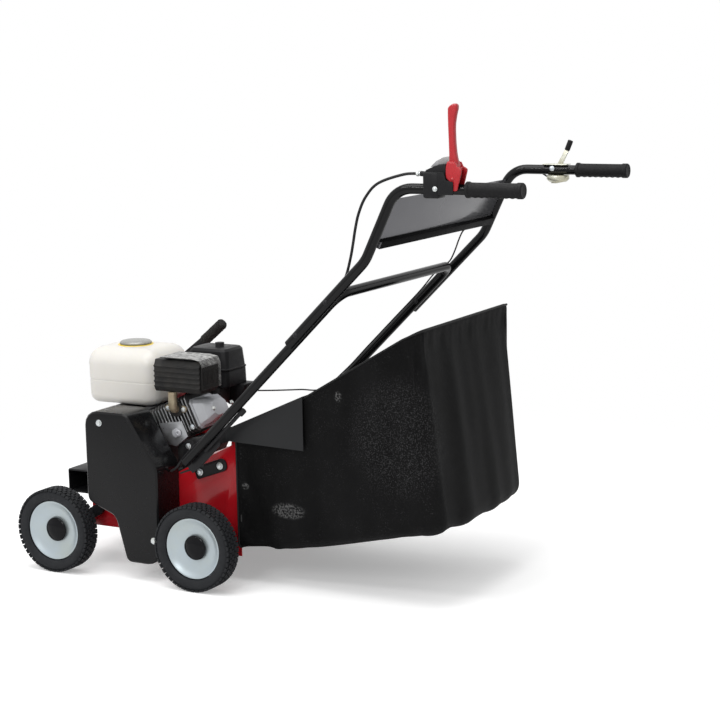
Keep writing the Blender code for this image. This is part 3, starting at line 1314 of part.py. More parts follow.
def bag_ring(share, turn=0.0):
    """One section of the bag, from its mouth (0) to its last straight section (1). A turn carries
    the section on round the rear corners, up to a quarter circle."""
    half = BAG_MOUTH_HALF + (BAG_REAR_HALF - BAG_MOUTH_HALF) * share
    low = BAG_MOUTH_BASE + (BAG_REAR_BASE_Z - BAG_MOUTH_BASE) * share - 0.010 * math.sin(math.pi * share)
    low_x = BAG_MOUTH_X + (BAG_REAR_BASE_X - BAG_LOW_BEND - BAG_MOUTH_X) * share
    high_x = BAG_MOUTH_X + (BAG_REAR_TOP_X - BAG_TOP_BEND - BAG_MOUTH_X) * share
    high = BAG_MOUTH_TOP + (BAG_SIDE_TOP_Z - BAG_MOUTH_TOP) * share
    corner = 0.018 + 0.012 * share
    middle = low + (high - low) / 3
    outline = rounded([(half, high, BAG_RIM_CORNER), (-half, high, BAG_RIM_CORNER),
                       (-half, middle, 0), (-half, low, corner), (-half / 3, low, 0), (half / 3, low, 0),
                       (half, low, corner), (half, middle, 0)], 3)
    ring = []
    for y, z in outline:
        up = (z - low) / (high - low)
        bend = BAG_LOW_BEND + (BAG_TOP_BEND - BAG_LOW_BEND) * up
        x = low_x + (high_x - low_x) * up + bend * math.sin(turn)
        narrow = (half - bend * (1 - math.cos(turn))) / half
        swell = BAG_SWELL * (1 - up) * (1 - math.cos(turn)) * (1 - (y / half) ** 2)
        lift = (BAG_REAR_TOP_Z - BAG_SIDE_TOP_Z) * up * math.sin(turn)
        ring.append((x + swell, y * narrow, z + lift))
    return ring


def bag():
    """The fabric bag, open to the deck, on a rod frame that follows its rims."""
    pivot = empty("bag_lift_off", (BAG_MOUTH_X, 0, BAG_MOUTH_TOP), base())
    bm = bmesh.new()
    sections = [(0, 0), (0.25, 0), (0.5, 0), (0.75, 0), (1, 0), (1, 30), (1, 60), (1, 90)]
    rows = [[bm.verts.new(point) for point in bag_ring(share, math.radians(turn))]
            for share, turn in sections]
    count = len(rows[0])
    for low, high in zip(rows, rows[1:]):
        for i in range(count):
            j = (i + 1) % count
            bm.faces.new((low[i], low[j], high[j], high[i]))
    bm.faces.new(rows[-1])
    cloth = mesh_object("bag_cloth", bm, smooth=True)
    shell = cloth.modifiers.new("cloth", "SOLIDIFY")
    shell.thickness = BAG_CLOTH
    shell.offset = -1.0
    shell.use_even_offset = True
    add_part(cloth, CLOTH, 0.9, 0.0, pivot)

    gap = BAG_CLOTH + BAG_ROD + 0.0017
    mouth_x = BAG_MOUTH_X + BAG_ROD + 0.001
    mouth = BAG_MOUTH_HALF - gap
    rise = (BAG_SIDE_TOP_Z - BAG_MOUTH_TOP) / (BAG_REAR_TOP_X - BAG_TOP_BEND - BAG_MOUTH_X)
    drop = gap * math.sqrt(1 + rise ** 2) + 0.001
    front_z = BAG_MOUTH_TOP + (mouth_x - BAG_MOUTH_X) * rise - drop
    bend_x = BAG_REAR_TOP_X - BAG_TOP_BEND
    bend_z = BAG_SIDE_TOP_Z - drop
    rear_x = BAG_REAR_TOP_X - gap - 0.003
    rear_z = BAG_REAR_TOP_Z - gap - 0.004
    rear = BAG_REAR_HALF - gap - 0.001
    low_z = BAG_MOUTH_BASE + gap + 0.001
    bend = BAG_TOP_BEND - gap
    frame = tube("bag_frame", bent([
        (mouth_x, 0, low_z), (mouth_x, -mouth, low_z), (mouth_x, -mouth, front_z), (bend_x, -rear, bend_z),
        (rear_x, -rear, rear_z), (rear_x, rear, rear_z), (bend_x, rear, bend_z),
        (mouth_x, mouth, front_z), (mouth_x, mouth, low_z), (mouth_x, 0.002, low_z),
    ], [0.020, 0.015, 0.030, bend * 0.8, bend * 0.8, 0.030, 0.015, 0.020], 3), BAG_ROD, 2)
    add_part(frame, STEEL, 0.4, 0.8, pivot)


def hood():
    """The hinged hood over the bag's mouth: an eye on the hinge rod, a roof and two side wings."""
    eye_in = HINGE_ROD / math.cos(math.pi / 12) + CLEAR
    eye_out = eye_in + 0.0025
    sheet = HOOD_SHEET
    front = HOOD_HINGE_X + eye_out - sheet
    rear = HOOD_HINGE_X + HOOD_LENGTH
    roof_front = HOOD_HINGE_Z + HOOD_RISE
    roof_rear = roof_front + (rear - front) * math.tan(HOOD_SLOPE)
    pivot = empty("hood_hinge", (HOOD_HINGE_X, 0, HOOD_HINGE_Z), base())
    roof = as_mesh(plate("rear_hood", [[
        (front, roof_front - 0.006), (front + sheet, roof_front - 0.006), (front + sheet, roof_front - sheet),
        (rear, roof_rear - sheet), (rear, roof_rear), (front, roof_front)]], 2 * HOOD_HALF - sheet, 0))
    eye_end = DECK_HALF - 0.022
    strap = box("hood_strap", (front - 0.0004, -eye_end + 0.003, HOOD_HINGE_Z),
                (front + sheet + 0.0004, eye_end - 0.003, roof_front - 0.003))
    join(roof, strap)
    join(roof, rod("hood_eye", eye_out, (HOOD_HINGE_X, -eye_end, HOOD_HINGE_Z),
                   (HOOD_HINGE_X, eye_end, HOOD_HINGE_Z), 12))
    for side in (-1, 1):
        wing = as_mesh(plate(f"hood_wing_{side}", [[
            (front - 0.001, HOOD_HINGE_Z - 0.008), (rear + 0.001, HOOD_HINGE_Z - 0.014),
            (rear + 0.001, roof_rear + 0.0005), (front - 0.001, roof_front + 0.0005)]],
            sheet, side * (HOOD_HALF - sheet / 2)))
        join(roof, wing)
    cut(roof, rod("hood_eye_bore", eye_in, (HOOD_HINGE_X, -0.25, HOOD_HINGE_Z),
                  (HOOD_HINGE_X, 0.25, HOOD_HINGE_Z), 12))
    add_part(roof, (0.035, 0.036, 0.038), 0.4, 0.2, pivot)


def build():
    """Clears the scene and makes every piece."""
    for obj in list(bpy.data.objects):
        bpy.data.objects.remove(obj, do_unlink=True)
    collection(NAME)
    collection("cutters")
    empty("ground_below_rear_axle", (ORIGIN_X, 0, 0))
    deck()
    axles()
    rotor()
    belt_drive()
    belt_cover()
    engine()
    handles()
    clutch()
    throttle()
    bag()
    hood()


build()
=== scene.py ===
import math
import bmesh
import bpy
from mathutils import Matrix, Vector, noise


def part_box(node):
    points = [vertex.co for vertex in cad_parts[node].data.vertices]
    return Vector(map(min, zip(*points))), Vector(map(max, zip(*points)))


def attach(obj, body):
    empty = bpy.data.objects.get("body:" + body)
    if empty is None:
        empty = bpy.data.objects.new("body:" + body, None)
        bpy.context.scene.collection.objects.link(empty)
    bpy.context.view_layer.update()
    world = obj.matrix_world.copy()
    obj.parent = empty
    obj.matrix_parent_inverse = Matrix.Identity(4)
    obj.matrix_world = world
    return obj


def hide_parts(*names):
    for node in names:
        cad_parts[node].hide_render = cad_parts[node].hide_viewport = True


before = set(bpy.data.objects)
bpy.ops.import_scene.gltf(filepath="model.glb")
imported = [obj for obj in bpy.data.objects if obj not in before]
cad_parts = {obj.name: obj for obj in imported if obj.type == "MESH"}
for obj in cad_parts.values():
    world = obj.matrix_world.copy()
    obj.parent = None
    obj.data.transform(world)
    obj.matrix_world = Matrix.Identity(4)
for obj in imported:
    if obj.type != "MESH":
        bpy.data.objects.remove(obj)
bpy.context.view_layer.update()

scene = bpy.context.scene

# Studio
# A small product studio: a white sweep under the machine, a large soft box overhead, one more and
# a thin strip lamp at the left, and a long lens at chest height off the machine's left rear corner.
CAMERA_AT = (2.09, -3.64, 1.21)
turn = math.radians(28.5)
dip = math.radians(9.7)
roll = math.radians(-1.06)
ahead = Vector((-math.sin(turn) * math.cos(dip), math.cos(turn) * math.cos(dip), -math.sin(dip)))
level = Vector((math.cos(turn), math.sin(turn), 0))
upright = level.cross(ahead)
across = math.cos(roll) * level + math.sin(roll) * upright
upward = -math.sin(roll) * level + math.cos(roll) * upright
lens = bpy.data.cameras.new("studio_camera")
lens.sensor_width = 36
lens.lens = 91.6
lens.clip_end = 60
camera = bpy.data.objects.new("studio_camera", lens)
stand = Matrix((across, upward, -ahead)).transposed().to_4x4()
stand.translation = CAMERA_AT
camera.matrix_world = stand
scene.collection.objects.link(camera)
scene.camera = camera
scene.view_settings.view_transform = "Standard"


def feed(tree, node, feeds):
    """Fills a node's inputs, by name or number: an output is linked in, anything else is set."""
    for socket, value in feeds.items():
        if isinstance(value, bpy.types.NodeSocket):
            tree.links.new(value, node.inputs[socket])
        else:
            node.inputs[socket].default_value = value
    return node


def shader_node(tree, kind, feeds=None, **settings):
    """A new shader node with its own settings made and its inputs filled."""
    node = tree.nodes.new("ShaderNode" + kind)
    for setting, value in settings.items():
        setattr(node, setting, value)
    return feed(tree, node, feeds or {})


world = bpy.data.worlds.new("studio_air")
scene.world = world
world.use_nodes = True
air = world.node_tree
air.nodes.clear()
seen = shader_node(air, "LightPath")
either = shader_node(air, "Math", {0: seen.outputs["Is Camera Ray"], 1: seen.outputs["Is Glossy Ray"]},
                     operation="MAXIMUM")
either_too = shader_node(air, "Math", {0: either.outputs[0], 1: seen.outputs["Is Transmission Ray"]},
                         operation="MAXIMUM")
strength = shader_node(air, "MapRange", {"Value": either_too.outputs[0], "To Min": 0.62, "To Max": 1.0})
glow = shader_node(air, "Background", {"Color": (1, 1, 1, 1), "Strength": strength.outputs[0]})
shader_node(air, "OutputWorld", {"Surface": glow.outputs[0]})

for lamp_name, place, aim, width, depth, power in (
        ("soft_box_over", (-0.2, -0.5, 3.0), (0, 0, 0.3), 2.2, 2.2, 54),
        ("soft_box_left", (0.4, -3.4, 2.1), (-0.1, 0, 0.4), 0.9, 0.9, 23),
        ("strip_left", (-0.9, -2.3, 2.5), (0.0, -0.2, 0.5), 1.3, 0.06, 16)):
    lamp = bpy.data.lights.new(lamp_name, "AREA")
    lamp.shape = "RECTANGLE"
    lamp.size = width
    lamp.size_y = depth
    lamp.energy = power
    holder = bpy.data.objects.new(lamp_name, lamp)
    holder.location = place
    holder.rotation_euler = (Vector(aim) - Vector(place)).to_track_quat("-Z", "Y").to_euler()
    scene.collection.objects.link(holder)

sweep = bmesh.new()
bmesh.ops.create_grid(sweep, x_segments=2, y_segments=2, size=9.0)
sweep_mesh = bpy.data.meshes.new("studio_floor")
sweep.to_mesh(sweep_mesh)
sweep.free()
floor = bpy.data.objects.new("studio_floor", sweep_mesh)
floor.location = (0, 0, -0.0005)
scene.collection.objects.link(floor)
paper = bpy.data.materials.new("white_paper")
paper.use_nodes = True
sheet_nodes = paper.node_tree
sheet_nodes.nodes.clear()
spot = shader_node(sheet_nodes, "TexCoord")
reach = shader_node(sheet_nodes, "VectorMath", {0: spot.outputs["Object"]}, operation="LENGTH")
fade = shader_node(sheet_nodes, "MapRange", {"Value": reach.outputs["Value"], "From Min": 0.75,
                                             "From Max": 1.9}, interpolation_type="SMOOTHSTEP")
watched = shader_node(sheet_nodes, "LightPath").outputs["Is Camera Ray"]
seen_far = shader_node(sheet_nodes, "Math", {0: fade.outputs[0], 1: watched}, operation="MULTIPLY")
matt = shader_node(sheet_nodes, "BsdfDiffuse", {"Color": (0.93, 0.93, 0.93, 1)})
lift = shader_node(sheet_nodes, "Math", {0: watched, 1: 0.30}, operation="MULTIPLY")
bounce = shader_node(sheet_nodes, "Emission", {"Strength": lift.outputs[0]})
lit_paper = shader_node(sheet_nodes, "AddShader", {0: matt.outputs[0], 1: bounce.outputs[0]})
plain = shader_node(sheet_nodes, "Emission")
blend_in = shader_node(sheet_nodes, "MixShader", {0: seen_far.outputs[0], 1: lit_paper.outputs[0],
                                                  2: plain.outputs[0]})
shader_node(sheet_nodes, "OutputMaterial", {"Surface": blend_in.outputs[0]})
floor.data.materials.append(paper)


# Clutch and throttle cables
# Two sheathed control cables run down the handle: the thick one from the clutch block on the left
# to the idler behind the belt cover, the thin one from the throttle on the right to the carburettor.
def finish(name, colour, tint, roughness, metallic=0.0, patch=9.0, grain=1400.0, bump=0.12, vary=0.10,
           coat=0.0, specular=0.5, share=0.35):
    """A surface finish: colour drifting towards a tint in patches, uneven gloss and a fine grain."""
    made = bpy.data.materials.new(name)
    made.use_nodes = True
    tree = made.node_tree
    where = shader_node(tree, "TexCoord").outputs["Object"]
    patches = shader_node(tree, "TexNoise", {"Vector": where, "Scale": patch, "Detail": 6,
                                             "Roughness": 0.62})
    spread = shader_node(tree, "MapRange", {"Value": patches.outputs["Fac"], "From Min": 0.38,
                                            "From Max": 0.70, "To Max": share})
    mix = shader_node(tree, "Mix", {"Factor": spread.outputs[0], "A": (*colour, 1), "B": (*tint, 1)},
                      data_type="RGBA")
    smudges = shader_node(tree, "TexNoise", {"Vector": where, "Scale": patch * 5, "Detail": 4})
    gloss = shader_node(tree, "MapRange", {"Value": smudges.outputs["Fac"], "From Min": 0.3,
                                           "From Max": 0.7, "To Min": max(0.02, roughness - vary),
                                           "To Max": min(1.0, roughness + vary)})
    grains = shader_node(tree, "TexNoise", {"Vector": where, "Scale": grain, "Detail": 3})
    relief = shader_node(tree, "Bump", {"Strength": bump, "Distance": 0.0004,
                                        "Height": grains.outputs["Fac"]})
    feed(tree, tree.nodes["Principled BSDF"], {
        "Base Color": mix.outputs["Result"], "Roughness": gloss.outputs[0],
        "Normal": relief.outputs[0], "Metallic": metallic, "Specular IOR Level": specular,
        "Coat Weight": coat, "Coat Roughness": 0.08})
    return made


def fit(name, bm, material, body, stands_for=None, slot=None, sharp=38):
    """Makes a piece of a finished bmesh: rounded shading, its finish and its body; slot is not used."""
    mesh = bpy.data.meshes.new(name)
    bm.to_mesh(mesh)
    bm.free()
    mesh.materials.append(material)
    mesh.shade_smooth()
    mesh.set_sharp_from_angle(angle=math.radians(sharp))
    obj = bpy.data.objects.new(name, mesh)
    scene.collection.objects.link(obj)
    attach(obj, body)
    if stands_for:
        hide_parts(stands_for)
    return obj


def flowing(points, spacing):
    """Points along one smooth line through the given ones, closer together than the spacing."""
    points = [Vector(p) for p in points]
    ends = [2 * points[0] - points[1]] + points + [2 * points[-1] - points[-2]]
    line = []
    for a, b, c, d in zip(ends, ends[1:], ends[2:], ends[3:]):
        steps = max(2, math.ceil((c - b).length / spacing))
        for i in range(steps):
            t = i / steps
            line.append(0.5 * (2 * b + (c - a) * t + (2 * a - 5 * b + 4 * c - d) * t ** 2
                               + (3 * b - a - 3 * c + d) * t ** 3))
    return line + [points[-1]]


def round_tube(line, radius, sides=8, closed=False):
    """A bmesh tube along a line of points, with its ends capped."""
    curve = bpy.data.curves.new("route", "CURVE")
    curve.dimensions = "3D"
    spline = curve.splines.new("POLY")
    spline.points.add(len(line) - 1)
    for point, place in zip(spline.points, line):
        point.co = (*place, 1)
    spline.use_cyclic_u = closed
    curve.bevel_depth = radius
    curve.bevel_resolution = max(0, sides // 2 - 2)
    curve.use_fill_caps = not closed
    holder = bpy.data.objects.new("route", curve)
    mesh = bpy.data.meshes.new_from_object(holder)
    bm = bmesh.new()
    bm.from_mesh(mesh)
    bmesh.ops.remove_doubles(bm, verts=bm.verts, dist=1e-6)
    bmesh.ops.recalc_face_normals(bm, faces=bm.faces)
    bpy.data.objects.remove(holder)
    bpy.data.curves.remove(curve)
    bpy.data.meshes.remove(mesh)
    return bm


SHEATH = finish("cable_sheath", (0.010, 0.010, 0.011), (0.022, 0.022, 0.023), 0.42, patch=40, grain=2500,
                bump=0.2, specular=0.2)
clutch_route = flowing([
    (0.4225, -0.297, 0.954), (0.385, -0.300, 0.9515), (0.328, -0.302, 0.933), (0.298, -0.302, 0.904),
    (0.280, -0.300, 0.870), (0.2685, -0.295, 0.837), (0.258, -0.287, 0.804), (0.244, -0.274, 0.771),
    (0.225, -0.261, 0.731), (0.205, -0.256, 0.7055), (0.1912, -0.2555, 0.6910), (0.1735, -0.2555, 0.6664),
    (0.1394, -0.256, 0.6297), (0.0685, -0.2565, 0.5593), (-0.0025, -0.2565, 0.4888),
    (-0.070, -0.2555, 0.420), (-0.108, -0.249, 0.386), (-0.138, -0.237, 0.366), (-0.168, -0.221, 0.347),
    (-0.200, -0.213, 0.321), (-0.235, -0.218, 0.285), (-0.248, -0.226, 0.264),
    (-0.2628, -0.230, 0.254)], 0.006)
clutch_cord = fit("clutch_cable_sheath", round_tube(clutch_route, 0.003, 12), SHEATH, "chassis",
                  "clutch_cable")
throttle_route = flowing([
    (0.4505, 0.3145, 0.9030), (0.430, 0.3140, 0.914), (0.398, 0.3130, 0.9205), (0.370, 0.3128, 0.917),
    (0.348, 0.3115, 0.897), (0.334, 0.3080, 0.876), (0.3235, 0.2960, 0.872), (0.314, 0.2820, 0.860),
    (0.303, 0.2700, 0.836), (0.290, 0.2600, 0.808), (0.273, 0.2550, 0.792), (0.2565, 0.2550, 0.778),
    (0.244, 0.2590, 0.757), (0.234, 0.2640, 0.737), (0.222, 0.2700, 0.7165), (0.2105, 0.2740, 0.702),
    (0.1916, 0.2710, 0.6907), (0.1713, 0.2640, 0.6685), (0.1394, 0.2575, 0.6297), (0.0685, 0.2570, 0.5593),
    (-0.0025, 0.2570, 0.4888), (-0.0663, 0.2570, 0.4253), (-0.130, 0.2520, 0.374), (-0.170, 0.210, 0.376),
    (-0.200, 0.140, 0.384), (-0.220, 0.070, 0.394), (-0.238, 0.030, 0.398), (-0.2375, 0.013, 0.400)], 0.006)
throttle_cord = fit("throttle_cable_sheath", round_tube(throttle_route, 0.0018, 10), SHEATH, "chassis",
                    "throttle_cable")


# Deck and front beam
# The housing over the rotor is folded from 3 mm steel and sprayed gloss red. A black box section is
# bolted across its front, and the hood's hinge rod runs through two ears at its rear.
def rounded(bm, edges, amount, segments=2, **more):
    """Rounds edges over by an amount."""
    bmesh.ops.bevel(bm, geom=edges, offset=amount, segments=segments, profile=0.5, affect="EDGES",
                    material=-1, **more)


def softened(node, width, segments=2, angle=28):
    """A copy of a CAD node's shape, its loose triangles merged and its sharp edges rounded."""
    bm = bmesh.new()
    bm.from_mesh(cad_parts[node].data)
    bmesh.ops.remove_doubles(bm, verts=bm.verts, dist=1e-5)
    bmesh.ops.dissolve_limit(bm, angle_limit=math.radians(0.8), verts=bm.verts, edges=bm.edges)
    if width:
        sharp = [e for e in bm.edges
                 if len(e.link_faces) == 2 and e.calc_face_angle(0) > math.radians(angle)]
        rounded(bm, sharp, width, segments, clamp_overlap=True)
    return bm


def dressed(name, node, width, material, body="chassis", **more):
    """Makes a piece of a CAD node's own shape, its edges rounded over, that stands for the node."""
    return fit(name, softened(node, width), material, body, node, **more)


RED_ENAMEL = finish("red_enamel", (0.36, 0.007, 0.012), (0.24, 0.006, 0.010), 0.20, patch=5, grain=260,
                    bump=0.05, vary=0.06, coat=0.25, specular=0.25)
BLACK_ENAMEL = finish("black_powder_coat", (0.011, 0.011, 0.012), (0.020, 0.020, 0.021), 0.36, patch=7,
                      grain=1900, bump=0.22, vary=0.08, specular=0.15)
dressed("deck_sheet", "deck", 0.0009, RED_ENAMEL)
dressed("front_box_section", "front_beam", 0.0008, BLACK_ENAMEL)


# Bolts and washers
# Zinc-plated hexagon bolts on plain washers hold the sheet parts. Each head is forged with a
# chamfered top face, and stands flat on its washer.
def turned_to(axis):
    """The rotation that turns +Z to an axis."""
    return Vector((0, 0, 1)).rotation_difference(Vector(axis).normalized()).to_matrix().to_4x4()


def added(whole, extra):
    """Puts one bmesh into another and frees it."""
    carried = bpy.data.meshes.new("carried")
    extra.to_mesh(carried)
    extra.free()
    whole.from_mesh(carried)
    bpy.data.meshes.remove(carried)
    return whole


def spun(profile, steps=96):
    """A bmesh turned about Z from a profile of (radius, height), a ring where it stays off the axis."""
    bm = bmesh.new()
    row = [bm.verts.new((r, 0, h)) for r, h in profile]
    edges = [bm.edges.new(pair) for pair in zip(row, row[1:])]
    if profile[0][0] > 0 and profile[-1][0] > 0:
        edges.append(bm.edges.new((row[-1], row[0])))
    bmesh.ops.spin(bm, geom=row + edges, cent=(0, 0, 0), axis=(0, 0, 1), angle=2 * math.pi, steps=steps,
                   use_merge=True)
    bmesh.ops.remove_doubles(bm, verts=bm.verts, dist=1e-6)
    bmesh.ops.recalc_face_normals(bm, faces=bm.faces)
    return bm


def hex_bolt(bm, place, axis, size, washer, spin):
    """Adds a hexagon head on a washer; place is where the washer's underside lies."""
    set_at = Matrix.Translation(place) @ turned_to(axis) @ Matrix.Rotation(spin, 4, "Z")
    disc = bmesh.ops.create_cone(bm, cap_ends=True, segments=28, radius1=washer, radius2=washer,
                                 depth=0.0014, matrix=set_at @ Matrix.Translation((0, 0, 0.0007)))
    head = bmesh.ops.create_cone(bm, cap_ends=True, segments=6, radius1=size, radius2=size,
                                 depth=size * 0.62,
                                 matrix=set_at @ Matrix.Translation((0, 0, 0.0013 + size * 0.31)))
    for verts, amount in ((disc["verts"], 0.0003), (head["verts"], size * 0.10)):
        edges = list({e for v in verts for e in v.link_edges if e.calc_face_angle(0) > 0.6})
        rounded(bm, edges, amount)


def dome_bolt(bm, place, axis, size):
    """Adds a domed cup head; place is where its underside lies."""
    dome = spun([(0, size * 0.52), (size * 0.45, size * 0.46), (size * 0.80, size * 0.28),
                 (size, size * 0.05), (size, 0)], 20)
    bmesh.ops.holes_fill(dome, edges=dome.edges)
    bmesh.ops.recalc_face_normals(dome, faces=dome.faces)
    dome.transform(Matrix.Translation(place) @ turned_to(axis))
    added(bm, dome)


ZINC = finish("zinc_plate", (0.60, 0.64, 0.68), (0.60, 0.57, 0.40), 0.34, metallic=0.85, patch=30,
              grain=2200, bump=0.10, vary=0.10, share=0.5)


def zinc_fit(name, bm):
    """Makes a bolt, or a group of them, one zinc-plated piece on the chassis."""
    return fit(name, bm, ZINC, "chassis", slot="rear_disc_left")


def bolt_group(name, bolts):
    """Makes hexagon bolts, each given as hex_bolt takes it, one zinc piece on the chassis."""
    group = bmesh.new()
    for bolt in bolts:
        hex_bolt(group, *bolt)
    return zinc_fit(name, group)


DECK_SIDE = 0.1993
bolt_group("deck_bolts", [
    ((bolt_x, side * DECK_SIDE, bolt_z), (0, side, 0), 0.0066, 0.0084, spin)
    for side in (-1, 1) for bolt_x, bolt_z, spin in ((-0.2029, 0.2513, 0.3), (-0.1482, 0.2706, 0.9))])


# Wheels
# Four alike: a dished disc pressed from zinc-plated steel, a solid rubber tyre moulded round its
# rim with rows of small tread blocks, and a domed black cap pushed over the axle's end.
WHEEL_AT = {"rear_left": (-0.160, -1), "rear_right": (-0.160, 1), "front_left": (-0.551, -1),
            "front_right": (-0.551, 1)}
AXLE_Z = 0.100
TRACK = 0.289
TYRE_CROWN, TYRE_SHOULDER, TYRE_OUTSIDE = 0.0974, 0.0962, 0.0998
TREAD_BLOCKS = 48
TREAD_DEPTH, TREAD_LENGTH, TREAD_ROUND = 0.0048, 0.0102, 0.0007
# Each row of the tread: its place across the tyre, its width, its lean in degrees and its radius.
TREAD_ROWS = ((0.0188, 0.0092, 16, TYRE_SHOULDER), (0.0094, 0.0076, 0, TYRE_CROWN),
              (0.0, 0.0076, 0, TYRE_CROWN), (-0.0094, 0.0076, 0, TYRE_CROWN),
              (-0.0188, 0.0092, -16, TYRE_SHOULDER))


def bend_round(profile, segments=5):
    """A profile of (radius, height, round) with each corner that has a round rolled over."""
    done = []
    for i, (r, h, amount) in enumerate(profile):
        here = Vector((r, h))
        if not amount or i == 0 or i == len(profile) - 1:
            done.append((r, h))
            continue
        before = (Vector(profile[i - 1][:2]) - here)
        after = (Vector(profile[i + 1][:2]) - here)
        cut = min(amount, before.length * 0.48, after.length * 0.48)
        start = here + before.normalized() * cut
        end = here + after.normalized() * cut
        for k in range(segments + 1):
            t = k / segments
            spot_at = start * (1 - t) ** 2 + here * 2 * t * (1 - t) + end * t ** 2
            done.append((spot_at[0], spot_at[1]))
    return done


def on_wheel(bm, x, side):
    """Moves a wheel piece, made about Z with its outer face up, to its place on the machine."""
    out = Matrix.Rotation(-side * math.pi / 2, 4, "X")
    bm.transform(Matrix.Translation((x, side * TRACK, AXLE_Z)) @ out)
    return bm


TYRE = finish("tyre_rubber", (0.014, 0.015, 0.017), (0.030, 0.031, 0.033), 0.62, patch=22, grain=1200,
              bump=0.35, vary=0.12, specular=0.16)
DISC = finish("wheel_zinc", (0.40, 0.46, 0.50), (0.44, 0.45, 0.33), 0.34, metallic=0.6, patch=8,
              grain=1800, bump=0.03, vary=0.04, share=0.35)
CAP = finish("cap_plastic", (0.003, 0.003, 0.004), (0.006, 0.006, 0.007), 0.12, patch=30, grain=900,
             bump=0.05, vary=0.06, specular=0.14)

half_tyre = [(0.0722, 0.0180, 0), (0.0760, 0.0215, 0.002), (0.0830, 0.0243, 0.004),
             (0.0905, 0.0236, 0.003), (TYRE_SHOULDER, 0.0200, 0.003), (TYRE_CROWN, 0.0100, 0.0)]
carcass = half_tyre + [(r, -h, amount) for r, h, amount in reversed(half_tyre)]
for wheel, (wheel_x, side) in WHEEL_AT.items():
    end, word = wheel.split("_")
    body = f"{end}_wheel_{word}"
    tyre = spun(bend_round(carcass, 3), 96)
    block = bmesh.new()
    for row, (height, width, lean, reach_in) in enumerate(TREAD_ROWS):
        for i in range(TREAD_BLOCKS):
            angle = 2 * math.pi * (i + 0.5 * (row % 2)) / TREAD_BLOCKS
            bmesh.ops.create_cube(
                block, size=1.0,
                matrix=Matrix.Rotation(angle, 4, "Z") @ Matrix.Translation((reach_in, 0, height))
                @ Matrix.Rotation(math.radians(lean), 4, "Y")
                @ Matrix.Diagonal((TREAD_DEPTH, TREAD_LENGTH, width, 1)))
    outer = [e for e in block.edges if min(v.co.xy.length for v in e.verts) > 0.0975]
    rounded(block, outer, TREAD_ROUND, 1)
    for v in block.verts:
        reach_out = v.co.xy.length
        if reach_out > TYRE_OUTSIDE:
            v.co.x *= TYRE_OUTSIDE / reach_out
            v.co.y *= TYRE_OUTSIDE / reach_out
    tyre = added(tyre, block)
    fit(f"{wheel}_tread", on_wheel(tyre, wheel_x, side), TYRE, body, f"{end}_tyre_{word}")

    disc = spun(bend_round([
        (0.0084, 0.0012, 0), (0.0172, 0.0012, 0.004), (0.0300, 0.0016, 0.010), (0.0560, 0.0088, 0.010),
        (0.0680, 0.0158, 0.003), (0.0704, 0.0158, 0.0012), (0.0704, -0.0158, 0.0012),
        (0.0676, -0.0158, 0.0010), (0.0676, 0.0120, 0.004), (0.0560, 0.0060, 0.010),
        (0.0300, -0.0012, 0.010), (0.0172, -0.0016, 0.004), (0.0172, -0.0249, 0.001),
        (0.0084, -0.0249, 0)], 5), 96)
    fit(f"{wheel}_pressing", on_wheel(disc, wheel_x, side), DISC, body, f"{end}_disc_{word}")

    cap = spun(bend_round([
        (0, 0.0132, 0), (0.0100, 0.0131, 0.008), (0.0190, 0.0112, 0.008), (0.0262, 0.0082, 0.004),
        (0.0284, 0.0066, 0.001), (0.0284, 0.0050, 0.0006), (0.0150, 0.0050, 0), (0, 0.0050, 0)], 5), 64)
    fit(f"{wheel}_dome", on_wheel(cap, wheel_x, side), CAP, body, f"{end}_hub_cap_{word}")


# Axles and depth lever
# The rear axle is fixed; the front one is cranked, and turning it with the long lever on the right
# sets the working depth. The lever is bent flat steel with a rough foam grip and a notched plate.
STEEL = finish("turned_steel", (0.34, 0.34, 0.35), (0.20, 0.17, 0.14), 0.34, metallic=0.9, patch=25,
               grain=1500, bump=0.15, vary=0.10)
dressed("rear_axle_bar", "rear_axle", 0.0005, STEEL)
dressed("front_crank_axle", "front_axle", 0.0006, BLACK_ENAMEL, "front_axle")
dressed("depth_lever_bar", "depth_lever", 0.0009, BLACK_ENAMEL, "front_axle")
dressed("depth_notch_plate", "depth_quadrant", 0.0004, ZINC)

FOAM = finish("foam_grip", (0.010, 0.010, 0.010), (0.055, 0.053, 0.050), 0.92, patch=260, grain=700,
              bump=0.9, vary=0.05, specular=0.12, share=0.8)
FOAM_RADIUS = 0.0138
foam_from = Vector((-0.4612, 0.225, 0.4770))
foam_to = Vector((-0.3995, 0.225, 0.5287))
foam_line = [foam_from.lerp(foam_to, i / 40) for i in range(41)]
foam = round_tube(foam_line, FOAM_RADIUS, 28)
bmesh.ops.triangulate(foam, faces=[f for f in foam.faces if len(f.verts) > 4])
foam_run = foam_to - foam_from
for v in foam.verts:
    t = max(0.0, min(1.0, (v.co - foam_from).dot(foam_run) / foam_run.length_squared))
    middle = foam_from.lerp(foam_to, t)
    rough = noise.noise(v.co * 320) * 0.0010 + noise.noise(v.co * 900) * 0.0005
    ends = 1.0 - 0.22 * max(0.0, (abs(t - 0.5) - 0.44) / 0.06)
    v.co = middle + (v.co - middle) * (ends + rough / FOAM_RADIUS)
fit("depth_lever_foam", foam, FOAM, "front_axle", "depth_grip", sharp=70)


